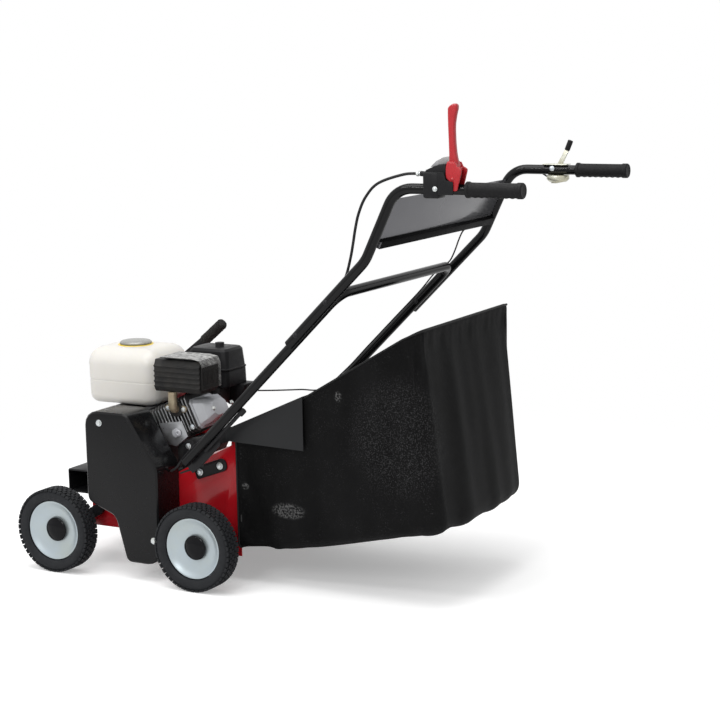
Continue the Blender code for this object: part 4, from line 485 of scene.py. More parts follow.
# Rotor and belt drive
# Twelve three-pointed knives are keyed on a steel shaft that runs in a flanged bearing at each side.
# A belt from the crankshaft drives it, tightened by an idler on a short arm.
KNIFE = finish("knife_steel", (0.16, 0.155, 0.15), (0.10, 0.05, 0.03), 0.42, metallic=0.8, patch=45,
               grain=900, bump=0.35, vary=0.14, share=0.6)
BELT = finish("belt_rubber", (0.013, 0.013, 0.013), (0.03, 0.03, 0.03), 0.7, patch=60, grain=1800,
              bump=0.4, specular=0.2)
NYLON = finish("idler_nylon", (0.015, 0.015, 0.016), (0.03, 0.03, 0.03), 0.4, patch=60, grain=1200,
               specular=0.25)
for name, node, width, material, body in (
        ("rotor_knives", "knife_rotor", 0.0005, KNIFE, "rotor"),
        ("rotor_bar", "rotor_shaft", 0.0006, STEEL, "rotor"),
        ("rotor_grooved_wheel", "rotor_pulley", 0.0004, STEEL, "rotor"),
        ("bearing_flange_left", "rotor_bearing_left", 0.0008, STEEL, "chassis"),
        ("bearing_flange_right", "rotor_bearing_right", 0.0008, STEEL, "chassis"),
        ("crank_grooved_wheel", "engine_pulley", 0.0004, STEEL, "crank"),
        ("wedge_belt", "drive_belt", 0.0006, BELT, "chassis"),
        ("idler_link", "idler_arm", 0.0004, ZINC, "idler_arm"),
        ("idler_roller", "idler_pulley", 0.0006, NYLON, "idler_wheel")):
    dressed(name, node, width, material, body)
ROTOR_X, ROTOR_Z = -0.320, 0.100
BEARING_RING = 0.0265
bearing_bolts = []
for k in range(3):
    angle = math.radians(90 + 120 * k)
    bearing_bolts.append(((ROTOR_X + BEARING_RING * math.cos(angle), DECK_SIDE,
                           ROTOR_Z + BEARING_RING * math.sin(angle)), (0, 1, 0), 0.0030, 0.0038, 0.2 * k))
bolt_group("bearing_bolts", bearing_bolts)


# Belt cover
# A deep black cover, pressed in one piece with a wide rolled edge, hides the belt. Two zinc bolts
# on plain washers hold it to the deck's left side.
COVER = finish("cover_satin_black", (0.005, 0.005, 0.0055), (0.009, 0.009, 0.0095), 0.27, patch=4,
               grain=2300, bump=0.08, vary=0.05, specular=0.12, coat=0.15)
fit("belt_guard", softened("belt_cover", 0.0012, 3, 20), COVER, "chassis", "belt_cover", sharp=50)
bolt_group("belt_guard_bolts", [
    ((bolt_x, -0.2850, bolt_z), (0, -1, 0), 0.0062, 0.0078, spin)
    for bolt_x, bolt_z, spin in ((-0.4202, 0.3651, 0.4), (-0.2786, 0.1001, 1.1))])


# Engine block and cylinder
# A single cylinder leans back from a die-cast crankcase, with cooling fins and a smooth rocker cover.
# Low on its left are a round boss, a painted foot casting and a black steel stay.
CYLINDER_LEAN = math.radians(25)
CRANK_X, CRANK_Z = -0.405, 0.320
ALLOY = finish("cast_alloy", (0.46, 0.47, 0.49), (0.20, 0.20, 0.20), 0.38, metallic=0.75, patch=28,
               grain=750, bump=0.45, vary=0.12, share=0.75)
SMOOTH_ALLOY = finish("rocker_alloy", (0.47, 0.48, 0.51), (0.32, 0.33, 0.33), 0.42, metallic=0.12, patch=14,
                      grain=900, bump=0.03, vary=0.06, share=0.5)
# Dark grey for the fins' flats and the gaps between them: painted shade between the fins.
FIN_PAINTED_SHADE = finish("fin_painted_shade", (0.030, 0.030, 0.031), (0.075, 0.072, 0.068), 0.55, metallic=0.2, patch=40,
              grain=700, bump=0.3, share=0.6)
CASE = finish("crankcase_paint", (0.016, 0.016, 0.017), (0.034, 0.034, 0.034), 0.45, patch=24, grain=700,
              bump=0.5, vary=0.12, share=0.7)
RUBBER = finish("moulded_rubber", (0.012, 0.012, 0.013), (0.026, 0.026, 0.026), 0.62, patch=50, grain=1500,
                bump=0.3, specular=0.16)
dressed("crankcase_casting", "crankcase", 0.0012, CASE)
fit("rocker_cover_casting", softened("rocker_cover", 0.0012, 2, 30), SMOOTH_ALLOY, "chassis",
    "rocker_cover", sharp=40)
cylinder = dressed("cylinder_casting", "finned_cylinder", 0.0003, ALLOY)
cylinder.data.materials.append(FIN_PAINTED_SHADE)
cylinder.data.materials.append(SMOOTH_ALLOY)
bore_line = Vector((math.cos(CYLINDER_LEAN), 0, math.sin(CYLINDER_LEAN)))
fin_rise = Vector((-math.sin(CYLINDER_LEAN), 0, math.cos(CYLINDER_LEAN)))
fin_reach = [v.co.dot(fin_rise) for v in cylinder.data.vertices]
fin_low, fin_high = min(fin_reach), max(fin_reach)
FIN_EDGE = 0.004
BARREL_NEAR, BARREL_FAR = -0.1655, -0.0560
PORT_FACE = -0.1715
# The fin flats and the gaps between the fins take the dark grey as painted shade; only the fins' outer
# edges and the port face keep their alloy.
for face in cylinder.data.polygons:
    rise = face.center.dot(fin_rise)
    inner = fin_low + FIN_EDGE < rise < fin_high - FIN_EDGE and BARREL_NEAR < face.center.y < BARREL_FAR
    if face.center.y < PORT_FACE:
        face.material_index = 2
    elif abs(face.normal.dot(bore_line)) > 0.6 or inner:
        face.material_index = 1


def on_cylinder(along, across, y):
    """A point at lengths along and across the leaning cylinder, from the crankshaft."""
    return Vector((CRANK_X + along * math.cos(CYLINDER_LEAN) - across * math.sin(CYLINDER_LEAN), y,
                   CRANK_Z + along * math.sin(CYLINDER_LEAN) + across * math.cos(CYLINDER_LEAN)))


def lean_box(bm, along, across, near, far, width, height, soft):
    """Adds a small box square to the cylinder, with rounded edges."""
    centre = on_cylinder(along, across, (near + far) / 2)
    made = bmesh.ops.create_cube(bm, size=1.0, matrix=Matrix.Translation(centre)
                                 @ Matrix.Rotation(-CYLINDER_LEAN, 4, "Y")
                                 @ Matrix.Diagonal((width, far - near, height, 1)))
    rounded(bm, list({e for v in made["verts"] for e in v.link_edges}), soft)


def moulded(outline, near, far, soft, segments=3, corners=False):
    """A bmesh cut to an outline in X and Z, from one Y to another, with its rims rounded over; so are
    the edges between the rims where corners is true."""
    made = bmesh.new()
    face = made.faces.new([made.verts.new((x, near, z)) for x, z in outline])
    grown = bmesh.ops.extrude_face_region(made, geom=[face])["geom"]
    bmesh.ops.translate(made, vec=(0, far - near, 0),
                        verts=[g for g in grown if isinstance(g, bmesh.types.BMVert)])
    bmesh.ops.recalc_face_normals(made, faces=made.faces)
    edges = [e for e in made.edges if corners or abs(e.verts[0].co.y - e.verts[1].co.y) < 1e-6]
    rounded(made, edges, soft, segments)
    return made


bolt_group("engine_bolts", [
    ((-0.2468, -0.1776, 0.3040), (0, -1, 0), 0.0058, 0.0072, 0.5),
    ((-0.2364, -0.1742, 0.3495), (0, -1, 0), 0.0042, 0.0062, 0.1),
    (on_cylinder(0.2216, -0.024, -0.148), bore_line, 0.0042, 0.0056, 0.3),
    (on_cylinder(0.2216, -0.024, -0.070), bore_line, 0.0042, 0.0056, 0.3)])
boss = spun(bend_round([(0.0030, 0.0, 0), (0.0030, 0.0026, 0.0006), (0.0048, 0.0030, 0.0006),
                        (0.0082, 0.0016, 0.001), (0.0086, 0.0, 0)]), 40)
boss.transform(Matrix.Translation((-0.2768, -0.1741, 0.3318)) @ turned_to((0, -1, 0)))
fit("shield_boss", boss, SMOOTH_ALLOY, "chassis", slot="finned_cylinder")
foot = moulded([(-0.2900, 0.2600), (-0.2250, 0.2760), (-0.2050, 0.3140), (-0.2080, 0.3300),
                (-0.2500, 0.3200), (-0.2900, 0.3000)], -0.1600, -0.0500, 0.003, corners=True)
fit("engine_foot_casting", foot, CASE, "chassis", slot="crankcase")
stay = moulded([(-0.2660, 0.2480), (-0.2260, 0.2680), (-0.2300, 0.3090), (-0.2370, 0.3180),
                (-0.2530, 0.3190), (-0.2600, 0.3120)], -0.1776, -0.1746, 0.0006, 2, corners=True)
fit("engine_stay", stay, BLACK_ENAMEL, "chassis", slot="front_beam")
plug_boot = bmesh.new()
lean_box(plug_boot, 0.172, 0.038, -0.132, -0.094, 0.030, 0.020, 0.003)
lean_box(plug_boot, 0.160, 0.047, -0.124, -0.102, 0.018, 0.018, 0.004)
fit("spark_plug_boot", plug_boot, RUBBER, "chassis", slot="depth_grip")


# Fuel tank
# Two off-white plastic halves are welded at a seam low on the sides; the filler stands in a shallow
# dip and its pressed grey cap sits over a yellow ring.
TANK = finish("tank_plastic", (0.67, 0.65, 0.615), (0.60, 0.58, 0.53), 0.38, patch=5, grain=1300, bump=0.10,
              vary=0.06, share=0.6)
feed(TANK.node_tree, TANK.node_tree.nodes["Principled BSDF"],
     {"Subsurface Weight": 0.12, "Subsurface Radius": (0.02, 0.016, 0.010)})
RING_YELLOW = finish("filler_yellow", (0.75, 0.55, 0.05), (0.65, 0.45, 0.05), 0.4, patch=40)
CAP_GREY = finish("cap_grey", (0.30, 0.30, 0.28), (0.22, 0.22, 0.21), 0.34, metallic=0.35, patch=30,
                  grain=1200, bump=0.15)
TANK_TOP = 0.512
SEAM_SHARE = 0.42
SEAM_HALF = 0.0022
DRAFT = 0.035
FILLER_X, FILLER_Y = -0.4755, -0.050
low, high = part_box("fuel_tank")
high = Vector((high.x, high.y, TANK_TOP))
centre = (low + high) / 2
tank = bmesh.new()
bmesh.ops.create_cube(tank, size=1.0,
                      matrix=Matrix.Translation(centre) @ Matrix.Diagonal((*(high - low), 1)))
stand_up = [e for e in tank.edges if abs(e.verts[0].co.z - e.verts[1].co.z) > 0.05]
rounded(tank, stand_up, 0.036, 8)
for edge_z, amount in ((high.z, 0.040), (low.z, 0.020)):
    loop = [e for e in tank.edges if all(abs(v.co.z - edge_z) < 1e-5 for v in e.verts)]
    rounded(tank, loop, amount, 8)
for v in tank.verts:
    share = (v.co.z - low.z) / (high.z - low.z)
    if share < SEAM_SHARE:
        v.co.x = centre.x + (v.co.x - centre.x) * (1 - DRAFT * (SEAM_SHARE - share) / SEAM_SHARE)
seam_z = low.z + SEAM_SHARE * (high.z - low.z)
for cut_z in (seam_z - SEAM_HALF, seam_z + SEAM_HALF):
    bmesh.ops.bisect_plane(tank, geom=tank.verts[:] + tank.edges[:] + tank.faces[:],
                           plane_co=(0, 0, cut_z), plane_no=(0, 0, 1))
band = [f for f in tank.faces if abs(f.calc_center_median().z - seam_z) < 0.0021]
bmesh.ops.inset_region(tank, faces=band, thickness=0.0003, depth=-0.0007, use_boundary=True)
for v in tank.verts:
    if v.co.z > high.z - 0.0005:
        v.co.z -= 0.0012 * min(1, ((v.co.x - centre.x) / 0.10) ** 2 + ((v.co.y - centre.y) / 0.08) ** 2)
fit("tank_moulding", tank, TANK, "chassis", "fuel_tank", sharp=44)
filler = spun(bend_round([(0.0375, 0.0, 0), (0.0375, 0.0014, 0.0004), (0.0425, 0.0012, 0.0006),
                          (0.0430, 0.0, 0)]), 72)
filler.transform(Matrix.Translation((FILLER_X, FILLER_Y, 0.5112)))
fit("filler_ring", filler, RING_YELLOW, "chassis", slot="fuel_tank")
cap = spun(bend_round([
    (0, 0.0098, 0), (0.0100, 0.0104, 0.004), (0.0230, 0.0100, 0.006), (0.0352, 0.0082, 0.004),
    (0.0386, 0.0046, 0.002), (0.0380, 0.0016, 0.0006), (0.0340, 0.0013, 0), (0, 0.0013, 0)]), 80)
CAP_RIBS = 36
ribs = bmesh.new()
for k in range(CAP_RIBS):
    bmesh.ops.create_cube(ribs, size=1.0, matrix=Matrix.Rotation(2 * math.pi * k / CAP_RIBS, 4, "Z")
                          @ Matrix.Translation((0.0378, 0, 0.0034))
                          @ Matrix.Diagonal((0.0016, 0.0022, 0.0032, 1)))
cap = added(cap, ribs)
cap.transform(Matrix.Translation((FILLER_X, FILLER_Y, TANK_TOP)))
fit("filler_cap", cap, CAP_GREY, "fuel_cap", "fuel_cap")


# Silencer and exhaust
# A louvred black silencer hangs on a short pipe, nutted to the exhaust port over a gasket. Dark metal
# mesh is bent over its top and rear face as a hand guard. It is coloured bright silver over the top and
# down the rear face's far edge as a painted highlight, and black on the rest of the rear face.
HOT_BLACK = finish("silencer_black", (0.020, 0.020, 0.020), (0.052, 0.047, 0.041), 0.55, patch=35,
                   grain=1100, bump=0.5, vary=0.14, specular=0.14)
PIPE = finish("exhaust_pipe_heat", (0.34, 0.29, 0.20), (0.16, 0.11, 0.07), 0.5, metallic=0.55, patch=60,
              grain=900, bump=0.4, share=0.6)
# Bright silver for the guard mesh: a painted highlight over its top and along its far edge.
MESH = finish("guard_mesh_painted_highlight", (0.50, 0.50, 0.49), (0.06, 0.06, 0.06), 0.38, metallic=0.5, patch=90, grain=1500,
              bump=0.2, share=0.95)
dressed("silencer_box", "silencer", 0.0010, HOT_BLACK)
dressed("exhaust_bend", "exhaust_pipe", 0.0006, PIPE)
PORT_Z = 0.3883
bolt_group("exhaust_nuts", [((nut_x, -0.1716, PORT_Z), (0, -1, 0), 0.0048, 0.0058, 0.4)
                            for nut_x in (-0.3045, -0.2615)])
gasket = spun(bend_round([(0.0090, 0.0, 0), (0.0090, 0.0020, 0.0004), (0.0185, 0.0020, 0.0006),
                          (0.0190, 0.0, 0)]), 48)
gasket.transform(Matrix.Translation((-0.2830, -0.1697, PORT_Z)) @ turned_to((0, -1, 0)))
fit("exhaust_gasket", gasket, HOT_BLACK, "chassis", slot="exhaust_pipe")
dressed("guard_strap", "silencer_guard", 0.0003, HOT_BLACK)
GUARD_Y, GUARD_WIDTH = -0.151, 0.078
HIGHLIGHT_ABOVE, HIGHLIGHT_BEYOND = 0.4930, -0.1220
guard = bmesh.new()
bmesh.ops.create_grid(guard, x_segments=56, y_segments=26, size=0.5)
path = [(-0.308, 0.5122), (-0.222, 0.5124), (-0.2010, 0.5090), (-0.1944, 0.4960), (-0.1940, 0.4420)]
lengths = [0.0]
for a, b in zip(path, path[1:]):
    lengths.append(lengths[-1] + math.dist(a, b))
for v in guard.verts:
    run = (v.co.x + 0.5) * lengths[-1]
    width = v.co.y
    for k in range(len(path) - 1):
        if run <= lengths[k + 1] + 1e-9:
            t = (run - lengths[k]) / (lengths[k + 1] - lengths[k])
            v.co = (path[k][0] + (path[k + 1][0] - path[k][0]) * t, GUARD_Y + width * GUARD_WIDTH,
                    path[k][1] + (path[k + 1][1] - path[k][1]) * t)
            break
bmesh.ops.wireframe(guard, faces=guard.faces, thickness=0.0010, use_replace=True, use_boundary=True,
                    use_even_offset=False)
guard_obj = fit("guard_mesh", guard, MESH, "chassis", slot="silencer_guard", sharp=30)
guard_obj.data.materials.append(HOT_BLACK)
# Faces on the near side of the rear face take the black; the rest stay silver as painted highlight.
for face in guard_obj.data.polygons:
    if face.center.z < HIGHLIGHT_ABOVE and face.center.y < HIGHLIGHT_BEYOND:
        face.material_index = 1


# Air filter and carburettor
# The air filter's box and lid and the choke's cover are moulded in grained black plastic; the
# carburettor between them is a casting in the engine's dark paint.
PLASTIC = finish("grained_plastic", (0.011, 0.011, 0.012), (0.020, 0.020, 0.021), 0.42, patch=14, grain=900,
                 bump=0.35, vary=0.08, specular=0.12)
fit("filter_box", softened("air_filter", 0.0012, 2, 20), PLASTIC, "chassis", "air_filter", sharp=50)
dressed("carburettor_casting", "carburettor", 0.0010, CASE)
choke = moulded([(-0.2480, 0.4240), (-0.1960, 0.4240), (-0.2010, 0.4050), (-0.2180, 0.3850),
                 (-0.2390, 0.3710), (-0.2540, 0.3780)], -0.006, 0.044, 0.003, corners=True)
fit("choke_cover", choke, PLASTIC, "chassis", slot="carburettor")


# Fan cover and recoil starter
# On the right the fan's red cover, held by zinc screws, carries a black recoil starter with air
# slots. The starter's T-shaped grip rests against its edge.
fit("fan_housing", softened("fan_cover", 0.0020, 3), RED_ENAMEL, "chassis", "fan_cover")
dressed("recoil_housing", "recoil_starter", 0.0007, PLASTIC)
dressed("recoil_grip", "starter_grip", 0.0008, PLASTIC, "starter_grip")
bolt_group("fan_cover_screws", [
    ((screw_x, 0.0283, screw_z), (0, 1, 0), 0.0035, 0.0045, 0.3) for screw_x, screw_z in (
        (-0.483, 0.250), (-0.322, 0.246), (-0.483, 0.360), (-0.318, 0.388))])


# Handle tubes
# One bent tube makes the two legs and the crossbar; two upper tubes are bolted outside it and swept
# back to the grips. All are 22 mm tube, sprayed gloss black.
TUBE = 0.011
LOWER_Y, UPPER_Y = 0.2747, 0.297
BEND_X, BEND_Z = 0.292, 0.770
GRIP_BEND_X, GRIP_X, GRIP_Z = 0.365, 0.527, 0.923
LEG_FOOT, CROSSBAR_X = -0.191, 0.216
TUBE_SLOPE = math.tan(math.radians(44.8))
GLOSS_BLACK = finish("gloss_black_tube", (0.004, 0.004, 0.0045), (0.008, 0.008, 0.008), 0.17, patch=12,
                     grain=500, bump=0.02, vary=0.05, specular=0.03, coat=0.33)


def swept(corners, radii, step=0.008):
    """A line through corners, each replaced by an arc of its radius."""
    corners = [Vector(c) for c in corners]
    line = [corners[0]]
    for before, here, after, radius in zip(corners, corners[1:], corners[2:], radii):
        back = (before - here).normalized()
        out = (after - here).normalized()
        half = back.angle(out) / 2
        trim = radius / math.tan(half)
        centre = here + (back + out).normalized() * (radius / math.sin(half))
        start = here + back * trim
        end = here + out * trim
        count = max(6, math.ceil((math.pi - 2 * half) * radius / step))
        first = start - centre
        last = end - centre
        full = first.angle(last)
        for i in range(count + 1):
            t = i / count
            swung = first * math.sin((1 - t) * full) + last * math.sin(t * full)
            line.append(centre + swung / math.sin(full))
    return line + [corners[-1]]


def slope_z(x):
    """The height of the tubes' common slope at a world x."""
    return BEND_Z + (x - BEND_X) * TUBE_SLOPE


lower = swept([(x, y, slope_z(x)) for x, y in ((LEG_FOOT, -LOWER_Y), (CROSSBAR_X, -LOWER_Y),
                                               (CROSSBAR_X, LOWER_Y), (LEG_FOOT, LOWER_Y))], [0.036, 0.036])
fit("lower_frame_tube", round_tube(lower, TUBE, 24), GLOSS_BLACK, "chassis", "lower_handle", sharp=60)
for side, word in ((-1, "left"), (1, "right")):
    y = side * UPPER_Y
    upper = swept([(0.102, y, slope_z(0.102)), (BEND_X, y, BEND_Z), (GRIP_BEND_X, y, GRIP_Z),
                   (0.647, y, GRIP_Z)], [0.090, 0.060])
    fit(f"upper_tube_{word}", round_tube(upper, TUBE, 24), GLOSS_BLACK, "chassis", f"upper_handle_{word}",
        sharp=60)
joint_bolts = bmesh.new()
for side in (-1, 1):
    for bolt_x in (0.125, 0.200):
        dome_bolt(joint_bolts, (bolt_x, side * 0.3075, slope_z(bolt_x)), (0, side, 0), 0.0060)
        hex_bolt(joint_bolts, (bolt_x, side * 0.2640, slope_z(bolt_x)), (0, -side, 0), 0.0055, 0.0070, 0.4)
fit("tube_joint_bolts", joint_bolts, BLACK_ENAMEL, "chassis", slot="upper_handle_left")


# Handle brackets
# A folded black plate on each side of the deck takes the foot of a leg, and a flat one stands beside
# the hood's hinge. On the left leg a rubber sleeve and clip hold the clutch cable.
for side, word in ((-1, "left"), (1, "right")):
    fit(f"leg_bracket_{word}", softened(f"handle_bracket_{word}", 0.0008), BLACK_ENAMEL, "chassis",
        f"handle_bracket_{word}")
HINGE_OUTLINE = ((-0.1850, 0.3060), (-0.1150, 0.3330), (-0.1045, 0.3395), (-0.1035, 0.3500),
                 (-0.1090, 0.3565), (-0.1330, 0.3570), (-0.1560, 0.3560), (-0.1850, 0.3380))
hinge_plates = bmesh.new()
for side in (-1, 1):
    added(hinge_plates, moulded(HINGE_OUTLINE, side * 0.1990, side * 0.2015, 0.0006, 2, corners=True))
fit("hood_hinge_plates", hinge_plates, BLACK_ENAMEL, "chassis", slot="deck", sharp=30)
for name, below, spacing, radius, places in (
        ("cable_sleeve", 0.0107, 0.012, 0.0046, (-0.150, -0.120, -0.090, -0.060, -0.048)),
        ("cable_clip", 0.0118, 0.004, 0.0068, (-0.056, -0.046))):
    line = flowing([(x + below, -0.2700, slope_z(x) - below) for x in places], spacing)
    fit(name, round_tube(line, radius, 14), RUBBER, "chassis", slot="clutch_cable")
flange_bolts = bmesh.new()
for side in (-1, 1):
    hex_bolt(flange_bolts, (-0.1260, side * 0.2636, 0.3369), (0, side, 0), 0.0042, 0.0054, 0.2)
dome_bolt(flange_bolts, (-0.2300, -0.1951, 0.2600), (0, -1, 0), 0.0072)
zinc_fit("bracket_bolts", flange_bolts)


# Tool panel
# A steel sheet between the upper tubes, folded back along its lower edge; its rear face is bare
# and smooth enough to mirror the room, and the fold is painted black.
PANEL_RISE_X, PANEL_RISE_Z = 0.4306, 0.9025
FOLD_HEIGHT = 0.0500
PANEL = finish("panel_steel", (0.15, 0.15, 0.16), (0.20, 0.20, 0.21), 0.16, metallic=0.55, patch=3,
               grain=300, bump=0.02, vary=0.05, share=0.5)
panel = dressed("panel_sheet", "tool_panel", 0.0005, PANEL)
FOLD_BLACK = finish("fold_black", (0.004, 0.004, 0.0045), (0.007, 0.007, 0.007), 0.45, patch=9, grain=900,
                    bump=0.05, vary=0.05, specular=0.02)
panel.data.materials.append(FOLD_BLACK)
for face in panel.data.polygons:
    up_panel = (face.center.x - BEND_X) * PANEL_RISE_X + (face.center.z - BEND_Z) * PANEL_RISE_Z
    if up_panel < FOLD_HEIGHT:
        face.material_index = 1
panel_screw = bmesh.new()
dome_bolt(panel_screw, (0.3455, -0.2780, 0.8870), (PANEL_RISE_Z, 0, -PANEL_RISE_X), 0.0045)
zinc_fit("panel_screw", panel_screw)


# Grips
# Soft black rubber grips are pushed on the tube ends: a collar at the front, finger waves below, and
# a thick rounded cap.
GRIP = finish("grip_rubber", (0.006, 0.006, 0.0065), (0.014, 0.014, 0.014), 0.58, patch=60, grain=2000,
              bump=0.4, vary=0.08, specular=0.16)
WAVE_FROM, WAVE_TO, WAVES, WAVE_DEPTH = 0.012, 0.106, 7, 0.0013
for side, word in ((-1, "left"), (1, "right")):
    grip = spun(bend_round([
        (0.0113, 0.0, 0), (0.0168, 0.0, 0.001), (0.0168, 0.0060, 0.001), (0.0152, 0.0080, 0.001),
        (0.0150, 0.0200, 0), (0.0150, 0.0350, 0), (0.0150, 0.0500, 0), (0.0150, 0.0650, 0),
        (0.0150, 0.0800, 0), (0.0150, 0.0950, 0), (0.0151, 0.1085, 0.001), (0.0165, 0.1110, 0.001),
        (0.0165, 0.1215, 0.002), (0.0145, 0.1238, 0.001), (0.0130, 0.1232, 0), (0, 0.1232, 0)], 3), 48)
    long_edges = [e for e in grip.edges if abs(e.verts[0].co.z - e.verts[1].co.z) > 0.010]
    bmesh.ops.subdivide_edges(grip, edges=long_edges, cuts=7, use_grid_fill=True)
    for v in grip.verts:
        if WAVE_FROM < v.co.z < WAVE_TO and v.co.xy.length > 0.0140:
            share = (v.co.z - WAVE_FROM) / (WAVE_TO - WAVE_FROM)
            wave = 0.5 - 0.5 * math.cos(share * 2 * math.pi * WAVES)
            below = max(0.0, v.co.x / 0.015)
            v.co.x += WAVE_DEPTH * wave * below ** 2
    grip.transform(Matrix.Translation((GRIP_X, side * UPPER_Y, GRIP_Z))
                   @ Matrix.Rotation(math.pi / 2, 4, "Y"))
    fit(f"rubber_grip_{word}", grip, GRIP, "chassis", f"grip_{word}", sharp=50)


# Clutch block and lever
# The clutch lever is moulded in red plastic and straddles a black block clamped round the left
# tube, over a zinc spring plate that is given the darker turned-steel finish as painted shade. The
# cable's zinc adjuster screws into the block's front.
RED_PLASTIC = finish("lever_red", (0.40, 0.009, 0.015), (0.33, 0.007, 0.012), 0.30, patch=20, grain=900,
                     bump=0.08, vary=0.06)


blade_line = [(p.x, p.z) for p in flowing([
    (0.4885, 0, 0.970), (0.4895, 0, 0.990), (0.4888, 0, 1.020), (0.4876, 0, 1.055), (0.4873, 0, 1.080),
    (0.4885, 0, 1.0875), (0.4960, 0, 1.0935), (0.5030, 0, 1.0950), (0.5078, 0, 1.0925), (0.5086, 0, 1.0860),
    (0.5052, 0, 1.072), (0.5022, 0, 1.052), (0.5026, 0, 1.022), (0.5050, 0, 0.995),
    (0.5095, 0, 0.974)], 0.006)]
handle = moulded(blade_line, -0.3035, -0.2905, 0.0035, 4)
cheek_line = [(p.x, p.z) for p in flowing([
    (0.4900, 0, 0.9790), (0.4875, 0, 0.9700), (0.4868, 0, 0.9560), (0.4880, 0, 0.9470), (0.4945, 0, 0.9400),
    (0.4975, 0, 0.9300), (0.5000, 0, 0.9225), (0.5060, 0, 0.9205), (0.5115, 0, 0.9225), (0.5145, 0, 0.9330),
    (0.5190, 0, 0.9500), (0.5215, 0, 0.9640), (0.5130, 0, 0.9690), (0.5085, 0, 0.9780)], 0.006)]
for near, far in ((-0.3128, -0.3090), (-0.2850, -0.2812)):
    handle = added(handle, moulded(cheek_line, near, far, 0.0012))
handle = added(handle, moulded([(0.4905, 0.9620), (0.5148, 0.9620), (0.5148, 0.9676), (0.5098, 0.9690),
                                (0.5092, 0.9735), (0.5050, 0.980), (0.4900, 0.980)],
                               -0.3110, -0.2830, 0.0008))
pin = bmesh.new()
dome_bolt(pin, (0.502, -0.3126, 0.945), (0, -1, 0), 0.0040)
handle = added(handle, pin)
bmesh.ops.triangulate(handle, faces=[f for f in handle.faces if len(f.verts) > 4])
fit("clutch_handle", handle, RED_PLASTIC, "clutch_lever", "clutch_lever", sharp=50)
housing = softened("clutch_block", 0.0010)
for outline, near, far, soft in (
        (((0.4375, 0.9500), (0.4375, 0.9565), (0.4410, 0.9622), (0.4620, 0.9712), (0.4855, 0.9752),
          (0.4855, 0.9500)), -0.3100, -0.2840, 0.0012),
        (((0.4600, 0.9346), (0.4600, 0.9570), (0.4960, 0.9570), (0.4990, 0.9500), (0.4990, 0.9346)),
         -0.3075, -0.2865, 0.0010),
        (((0.4700, 0.9130), (0.5042, 0.9130), (0.5040, 0.9395), (0.4885, 0.9425), (0.4835, 0.9585),
          (0.4700, 0.9585)), -0.3162, -0.3138, 0.0006)):
    housing = added(housing, moulded(outline, near, far, soft))
fit("clutch_housing", housing, PLASTIC, "chassis", "clutch_block")
spring_plate = moulded([(0.4420, 0.9672), (0.4800, 0.9690), (0.4860, 0.9800), (0.4850, 0.9895),
                        (0.4700, 0.9868), (0.4550, 0.9790)], -0.2905, -0.2885, 0.0004)
# The zinc spring plate takes the darker turned-steel finish: painted shade.
fit("clutch_spring_plate", spring_plate, STEEL, "chassis", slot="rear_disc_left")
adjuster = spun(bend_round([(0, 0.0125, 0), (0.0028, 0.0125, 0.0006), (0.0034, 0.0090, 0.0006),
                            (0.0056, 0.0085, 0.0006), (0.0056, 0.0035, 0.0006),
                            (0.0036, 0.0030, 0.0004), (0.0036, 0.0, 0), (0, 0.0, 0)]), 24)
adjuster.transform(Matrix.Translation((0.4232, -0.297, 0.954)) @ turned_to((-0.99, -0.02, -0.03)))
zinc_fit("cable_adjuster", adjuster)
bolt_group("clutch_housing_bolt", [((0.4639, -0.3150, 0.9247), (0, -1, 0), 0.0042, 0.0054, 0.4)])


# Throttle
# A pressed zinc cup under the right tube holds the throttle's friction discs; its flat lever stands
# up beside the tube and ends in a small black knob.
YELLOW_ZINC = finish("passivated_zinc", (0.55, 0.56, 0.50), (0.52, 0.46, 0.26), 0.34, metallic=0.75,
                     patch=30, grain=1500, bump=0.15, share=0.6)
dressed("throttle_cup", "throttle_mount", 0.0008, YELLOW_ZINC)
dressed("throttle_arm", "throttle_lever", 0.0004, YELLOW_ZINC, "throttle")
fit("throttle_tip", softened("throttle_knob", 0.0016, 3), PLASTIC, "throttle", "throttle_knob")
bolt_group("throttle_strap_bolt", [((0.4697, 0.2862, 0.9263), (0, -1, 0), 0.0046, 0.0060, 0.4)])


# Collecting bag
# The bag is sewn from black woven mesh and hangs on a bent steel rod inside its rims. It is open at
# the deck; a bound hem stiffens the mouth, and the cloth sags and folds between the rods.
ROD = finish("frame_rod_black", (0.020, 0.020, 0.020), (0.05, 0.05, 0.05), 0.4, metallic=0.3, patch=40)
dressed("bag_rod", "bag_frame", 0, ROD, "bag", sharp=60)
MOUTH_X, MOUTH_HALF, MOUTH_LOW, MOUTH_HIGH = -0.0984, 0.208, 0.081, 0.343
REAR_HALF, REAR_LOW, REAR_SIDE_HIGH, REAR_MIDDLE_HIGH = 0.245, 0.170, 0.601, 0.619
REAR_LOW_X, REAR_HIGH_X = 0.432, 0.388
LOW_BEND, HIGH_BEND = 0.058, 0.040
STRAIGHT_SHARE, CORNER_SHARE = 0.86, 0.28
SIDE_STEPS, REAR_STEPS, RISE_STEPS = 42, 44, 40


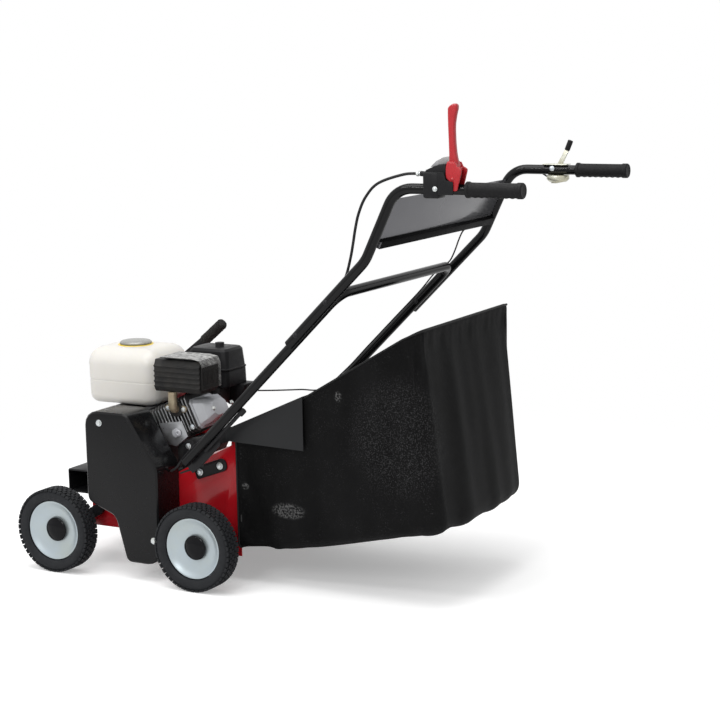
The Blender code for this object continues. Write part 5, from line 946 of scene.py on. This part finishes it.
def bag_wall(round_at, rise_at, out=0.0):
    """A point of the bag's wall. round_at goes from the mouth along the left side (0 to 1), across the
    rear (to 2) and back along the right side (to 3); rise_at climbs from the floor seam to the rim."""
    side = -1 if round_at <= 1.5 else 1
    along = round_at if round_at <= 1.5 else 3 - round_at
    share = min(1.0, along / STRAIGHT_SHARE)
    corner = max(0.0, min(1.0, (along - STRAIGHT_SHARE) / CORNER_SHARE))
    swing = corner * math.pi / 2
    half = MOUTH_HALF + (REAR_HALF - MOUTH_HALF) * share
    low = MOUTH_LOW + (REAR_LOW - MOUTH_LOW) * share - 0.010 * math.sin(math.pi * share)
    high = MOUTH_HIGH + (REAR_SIDE_HIGH - MOUTH_HIGH) * share
    foot = 0.018 + 0.012 * share
    rim = 0.007
    foot_end, rim_start = 0.09, 0.95
    if rise_at < foot_end:
        q = rise_at / foot_end * math.pi / 2
        inward, climb = foot * (1 - math.sin(q)), foot * (1 - math.cos(q))
    elif rise_at < rim_start:
        inward = 0.0
        climb = foot + (high - low - foot - rim) * (rise_at - foot_end) / (rim_start - foot_end)
    else:
        q = (rise_at - rim_start) / (1 - rim_start) * math.pi / 2
        inward, climb = rim * (1 - math.cos(q)), high - low - rim + rim * math.sin(q)
    up = climb / (high - low)
    bend = LOW_BEND + (HIGH_BEND - LOW_BEND) * up
    x_low = MOUTH_X + (REAR_LOW_X - LOW_BEND - MOUTH_X) * share
    x_high = MOUTH_X + (REAR_HIGH_X - HIGH_BEND - MOUTH_X) * share
    x = x_low + (x_high - x_low) * up + bend * math.sin(swing)
    y = half - bend * (1 - math.cos(swing))
    if along > STRAIGHT_SHARE + CORNER_SHARE:
        y *= (1.5 - along) / (1.5 - STRAIGHT_SHARE - CORNER_SHARE)
    belly = 0.018 * (1 - up) * math.sin(swing) ** 2 * (1 - (y / half) ** 2)
    lift = (REAR_MIDDLE_HIGH - REAR_SIDE_HIGH) * up * math.sin(swing)
    x += belly + (out - inward) * math.sin(swing)
    y += (out - inward) * math.cos(swing)
    return Vector((x, side * y, low + climb + lift))


def bag_panel(bm, across, along, place, cut_at):
    """Adds one cut panel of cloth: a grid whose points go to their place, with its cut size as UV."""
    made = bmesh.ops.create_grid(bm, x_segments=across, y_segments=along, size=0.5)
    layer = bm.loops.layers.uv.verify()
    flat = {v: (v.co.x + 0.5, v.co.y + 0.5) for v in made["verts"]}
    for v in made["verts"]:
        for loop in v.link_loops:
            loop[layer].uv = cut_at(*flat[v])
        v.co = place(*flat[v])


def between(edge_low, edge_high, near, far, u, v):
    """A point of a sheet stretched between four edges, as a floor panel is between its seams."""
    ruled = edge_low(u) * (1 - v) + edge_high(u) * v
    crossed = near(v) * (1 - u) + far(v) * u
    below = edge_low(0) * (1 - u) + edge_low(1) * u
    above = edge_high(0) * (1 - u) + edge_high(1) * u
    flat = below * (1 - v) + above * v
    return ruled + crossed - flat


def bag_lid(rise_at):
    """The floor (rise_at 0) or the roof (rise_at 1), from the mouth to the rear seam."""
    return lambda u, v: between(lambda t: bag_wall(t, rise_at), lambda t: bag_wall(3 - t, rise_at),
                                lambda t: bag_wall(0, rise_at).lerp(bag_wall(3, rise_at), t),
                                lambda t: bag_wall(1 + t, rise_at), u, v)


def even_round(u):
    """Turns an even step across the wall panel into its place round the bag."""
    step = u * (2 * SIDE_STEPS + REAR_STEPS)
    if step <= SIDE_STEPS:
        return step / SIDE_STEPS
    if step <= SIDE_STEPS + REAR_STEPS:
        return 1 + (step - SIDE_STEPS) / REAR_STEPS
    return 2 + (step - SIDE_STEPS - REAR_STEPS) / SIDE_STEPS


bag = bmesh.new()
bag_panel(bag, 2 * SIDE_STEPS + REAR_STEPS, RISE_STEPS,
          lambda u, v: bag_wall(even_round(u), v), lambda u, v: (1.50 * u, 0.50 * v))
for rise_at in (0, 1):
    bag_panel(bag, SIDE_STEPS, REAR_STEPS, bag_lid(rise_at), lambda u, v: (0.50 * u, 0.49 * v))
bmesh.ops.remove_doubles(bag, verts=bag.verts, dist=0.0006)
bmesh.ops.recalc_face_normals(bag, faces=bag.faces)
if sum(f.normal.dot(f.calc_center_median() - Vector((0.16, 0, 0.34))) for f in bag.faces) < 0:
    bmesh.ops.reverse_faces(bag, faces=bag.faces)
cut_area = sum(f.calc_area() for f in bag.faces)

CLOTH = bpy.data.materials.new("woven_mesh_cloth")
CLOTH.use_nodes = True
weave = CLOTH.node_tree
by_cut = shader_node(weave, "UVMap").outputs["UV"]
by_place = shader_node(weave, "TexCoord").outputs["Object"]
bands = [shader_node(weave, "TexWave", {"Vector": by_cut, "Scale": 120.0, "Distortion": 0.6,
                                        "Detail": 1.0, "Detail Scale": 0.4}, bands_direction=direction)
         for direction in ("X", "Y")]


def worked_out(operation, first, second):
    """One sum on two sockets or numbers, for the weave."""
    return shader_node(weave, "Math", {0: first, 1: second}, operation=operation).outputs[0]


def cloth_noise(scale, detail, low, high, squeeze=None):
    """Noise read at the place on the bag, stretched between two levels of its own."""
    source = by_place
    if squeeze:
        source = shader_node(weave, "Mapping", {"Vector": by_place, "Scale": squeeze}).outputs["Vector"]
    spots = shader_node(weave, "TexNoise", {"Vector": source, "Scale": scale, "Detail": detail})
    return shader_node(weave, "MapRange", {"Value": spots.outputs["Fac"], "From Min": low,
                                           "From Max": high}).outputs[0]


threads = worked_out("MULTIPLY", bands[0].outputs["Fac"], bands[1].outputs["Fac"])
# painted_glints: tiny bright specks on the weave, painted highlights in the cloth's colour.
painted_glints = worked_out("MULTIPLY", cloth_noise(420, 2, 0.60, 0.74), cloth_noise(26, 4, 0.40, 0.66))
fine_speckles = cloth_noise(380, 2, 0.52, 0.70)
dust = cloth_noise(7, 7, 0.46, 0.80, (1.0, 1.0, 0.35))


def round_patch(centre, size):
    """A round patch: 1 at its centre, fading to 0 at its size."""
    offset = shader_node(weave, "VectorMath", {0: by_place, 1: centre}, operation="SUBTRACT")
    shrunk = shader_node(weave, "VectorMath", {0: offset.outputs[0], 1: size}, operation="DIVIDE")
    far = shader_node(weave, "VectorMath", {0: shrunk.outputs[0]}, operation="LENGTH")
    return shader_node(weave, "MapRange", {"Value": far.outputs["Value"], "From Min": 1.0,
                                           "From Max": 0.55}, interpolation_type="SMOOTHSTEP").outputs[0]


rubbed = worked_out("MAXIMUM", round_patch((0.038, -0.215, 0.186), (0.050, 0.05, 0.022)),
                    round_patch((0.180, -0.225, 0.461), (0.012, 0.05, 0.014)))
rubbed = worked_out("MAXIMUM", rubbed, round_patch((-0.078, -0.210, 0.231), (0.010, 0.05, 0.009)))
rubbed = worked_out("MULTIPLY", rubbed, cloth_noise(230, 5, 0.44, 0.60))
# The weave is lightened by painted glints, real dust and the threads' own pattern.
lighter = worked_out("ADD", worked_out("MULTIPLY", painted_glints, 0.55), worked_out("MULTIPLY", dust, 0.10))
lighter = worked_out("ADD", lighter, worked_out("MULTIPLY", threads, 0.10))
# A broad patch of lighter speckles over the middle of the bag's left side.
side_speckle_patch = worked_out("MULTIPLY", round_patch((0.330, -0.225, 0.380), (0.150, 0.10, 0.160)), fine_speckles)
lighter = worked_out("ADD", lighter, worked_out("MULTIPLY", side_speckle_patch, 0.60))
shade = shader_node(weave, "Mix", {"Factor": lighter, "A": (0.0020, 0.0020, 0.0021, 1),
                                   "B": (0.060, 0.060, 0.062, 1)}, data_type="RGBA")
patch_shade = shader_node(weave, "Mix", {"Factor": rubbed, "A": shade.outputs["Result"],
                                         "B": (0.090, 0.090, 0.090, 1)}, data_type="RGBA")
weave_gloss = shader_node(weave, "MapRange", {"Value": threads, "To Min": 0.62, "To Max": 0.40})
weave_relief = shader_node(weave, "Bump", {"Strength": 0.55, "Distance": 0.0006, "Height": threads})
feed(weave, weave.nodes["Principled BSDF"], {
    "Base Color": patch_shade.outputs["Result"], "Roughness": weave_gloss.outputs[0],
    "Normal": weave_relief.outputs[0], "Specular IOR Level": 0.055, "Sheen Weight": 0.02,
    "Sheen Roughness": 0.4, "Sheen Tint": (0.6, 0.6, 0.62, 1)})

bag_mesh = bpy.data.meshes.new("bag_shell")
bag.to_mesh(bag_mesh)
bag.free()
bag_mesh.materials.append(CLOTH)
bag_obj = bpy.data.objects.new("bag_shell", bag_mesh)
scene.collection.objects.link(bag_obj)
DRAPE_STEPS, DRAPE_MOST = 24, 0.009


def top_seam(x):
    """The height of the side's top seam at a world x, from the mouth to the rear."""
    return MOUTH_HIGH + (x - MOUTH_X) * 0.578


cut_shape = [v.co.copy() for v in bag_mesh.vertices]
held = bag_obj.vertex_groups.new(name="held")
for v in bag_mesh.vertices:
    at = v.co
    mouth = at.x < MOUTH_X + 0.010
    rim = at.z > top_seam(at.x) - 0.012
    low_seam = at.z < MOUTH_LOW + 0.010 and at.x < 0.02
    held.add([v.index], 1.0 if mouth or rim or low_seam else 0.0, "REPLACE")
drape = bag_obj.modifiers.new("drape", "CLOTH")
for setting, value in (("quality", 6), ("mass", 0.25), ("tension_stiffness", 30),
                       ("compression_stiffness", 8), ("shear_stiffness", 8),
                       ("bending_stiffness", 0.8), ("vertex_group_mass", "held"),
                       ("shrink_min", -0.016)):
    setattr(drape.settings, setting, value)
drape.collision_settings.use_collision = False
drape.point_cache.frame_start = 1
drape.point_cache.frame_end = DRAPE_STEPS
for step in range(1, DRAPE_STEPS + 1):
    scene.frame_set(step)
draped = bag_obj.evaluated_get(bpy.context.evaluated_depsgraph_get())
hung = [v.co.copy() for v in draped.to_mesh().vertices]
draped.to_mesh_clear()
bag_obj.modifiers.clear()
bag_obj.vertex_groups.clear()
scene.frame_set(1)
for v, start, end in zip(bag_mesh.vertices, cut_shape, hung):
    moved = end - start
    if moved.length > DRAPE_MOST:
        moved *= DRAPE_MOST / moved.length
    v.co = start + moved
for v in bag_mesh.vertices:
    start = cut_shape[v.index]
    rear = max(0.0, min(1.0, (start.x - 0.33) / 0.08))
    top = start.z > top_seam(start.x) - 0.016
    loose = 0.0 if top or start.x < MOUTH_X + 0.012 else 1.0
    folds = noise.noise(Vector((start.y * 17, 3.1, start.z * 2.2))) * 0.0062 * rear
    folds += noise.noise(Vector((start.x * 6, start.y * 2, start.z * 4))) * 0.0042 * (1 - rear)
    v.co += v.normal * (folds * loose - 0.0016 * loose)
bag_mesh.update()
shell = bag_obj.modifiers.new("cloth_thickness", "SOLIDIFY")
shell.thickness = 0.0012
shell.offset = -1
finer = bag_obj.modifiers.new("softness", "SUBSURF")
finer.levels = 1
finer.render_levels = 1
bag_mesh.shade_smooth()
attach(bag_obj, "bag")
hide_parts("bag_cloth")

HEM = finish("hem_webbing", (0.007, 0.007, 0.0075), (0.014, 0.014, 0.014), 0.6, patch=60, grain=1100,
             bump=0.6, specular=0.2)
mouth_hem = [bag_wall(0.004, 0.04 + 0.92 * i / 40, 0.0006) for i in range(41)]
mouth_hem += [Vector((mouth_hem[40].x, -y, MOUTH_HIGH)) for y in (0.15, 0.05, -0.05, -0.15)]
mouth_hem += [Vector((p.x, -p.y, p.z)) for p in reversed(mouth_hem[:41])]
mouth_hem += [Vector((mouth_hem[0].x, y, MOUTH_LOW)) for y in (0.15, 0.05, -0.05, -0.15)]
hem = round_tube(mouth_hem, 0.0022, 10, closed=True)
rim_line = [bag_wall(even_round(i / 128), 0.975, 0.0004) for i in range(1, 128)]
hem = added(hem, round_tube(rim_line, 0.0023, 10))
hem_obj = fit("bag_binding", hem, HEM, "bag", slot="bag_cloth", sharp=60)


# Rear hood
# A folded sheet hinged to the deck's rear edge: it lies on the bag's mouth and swings up to let the
# bag off. Sprayed satin dark grey.
HOOD = finish("hood_satin", (0.018, 0.0185, 0.0195), (0.025, 0.0255, 0.027), 0.40, patch=4, grain=2100,
              bump=0.14, vary=0.06, specular=0.13)
dressed("hood_sheet", "rear_hood", 0.0004, HOOD, "hood")
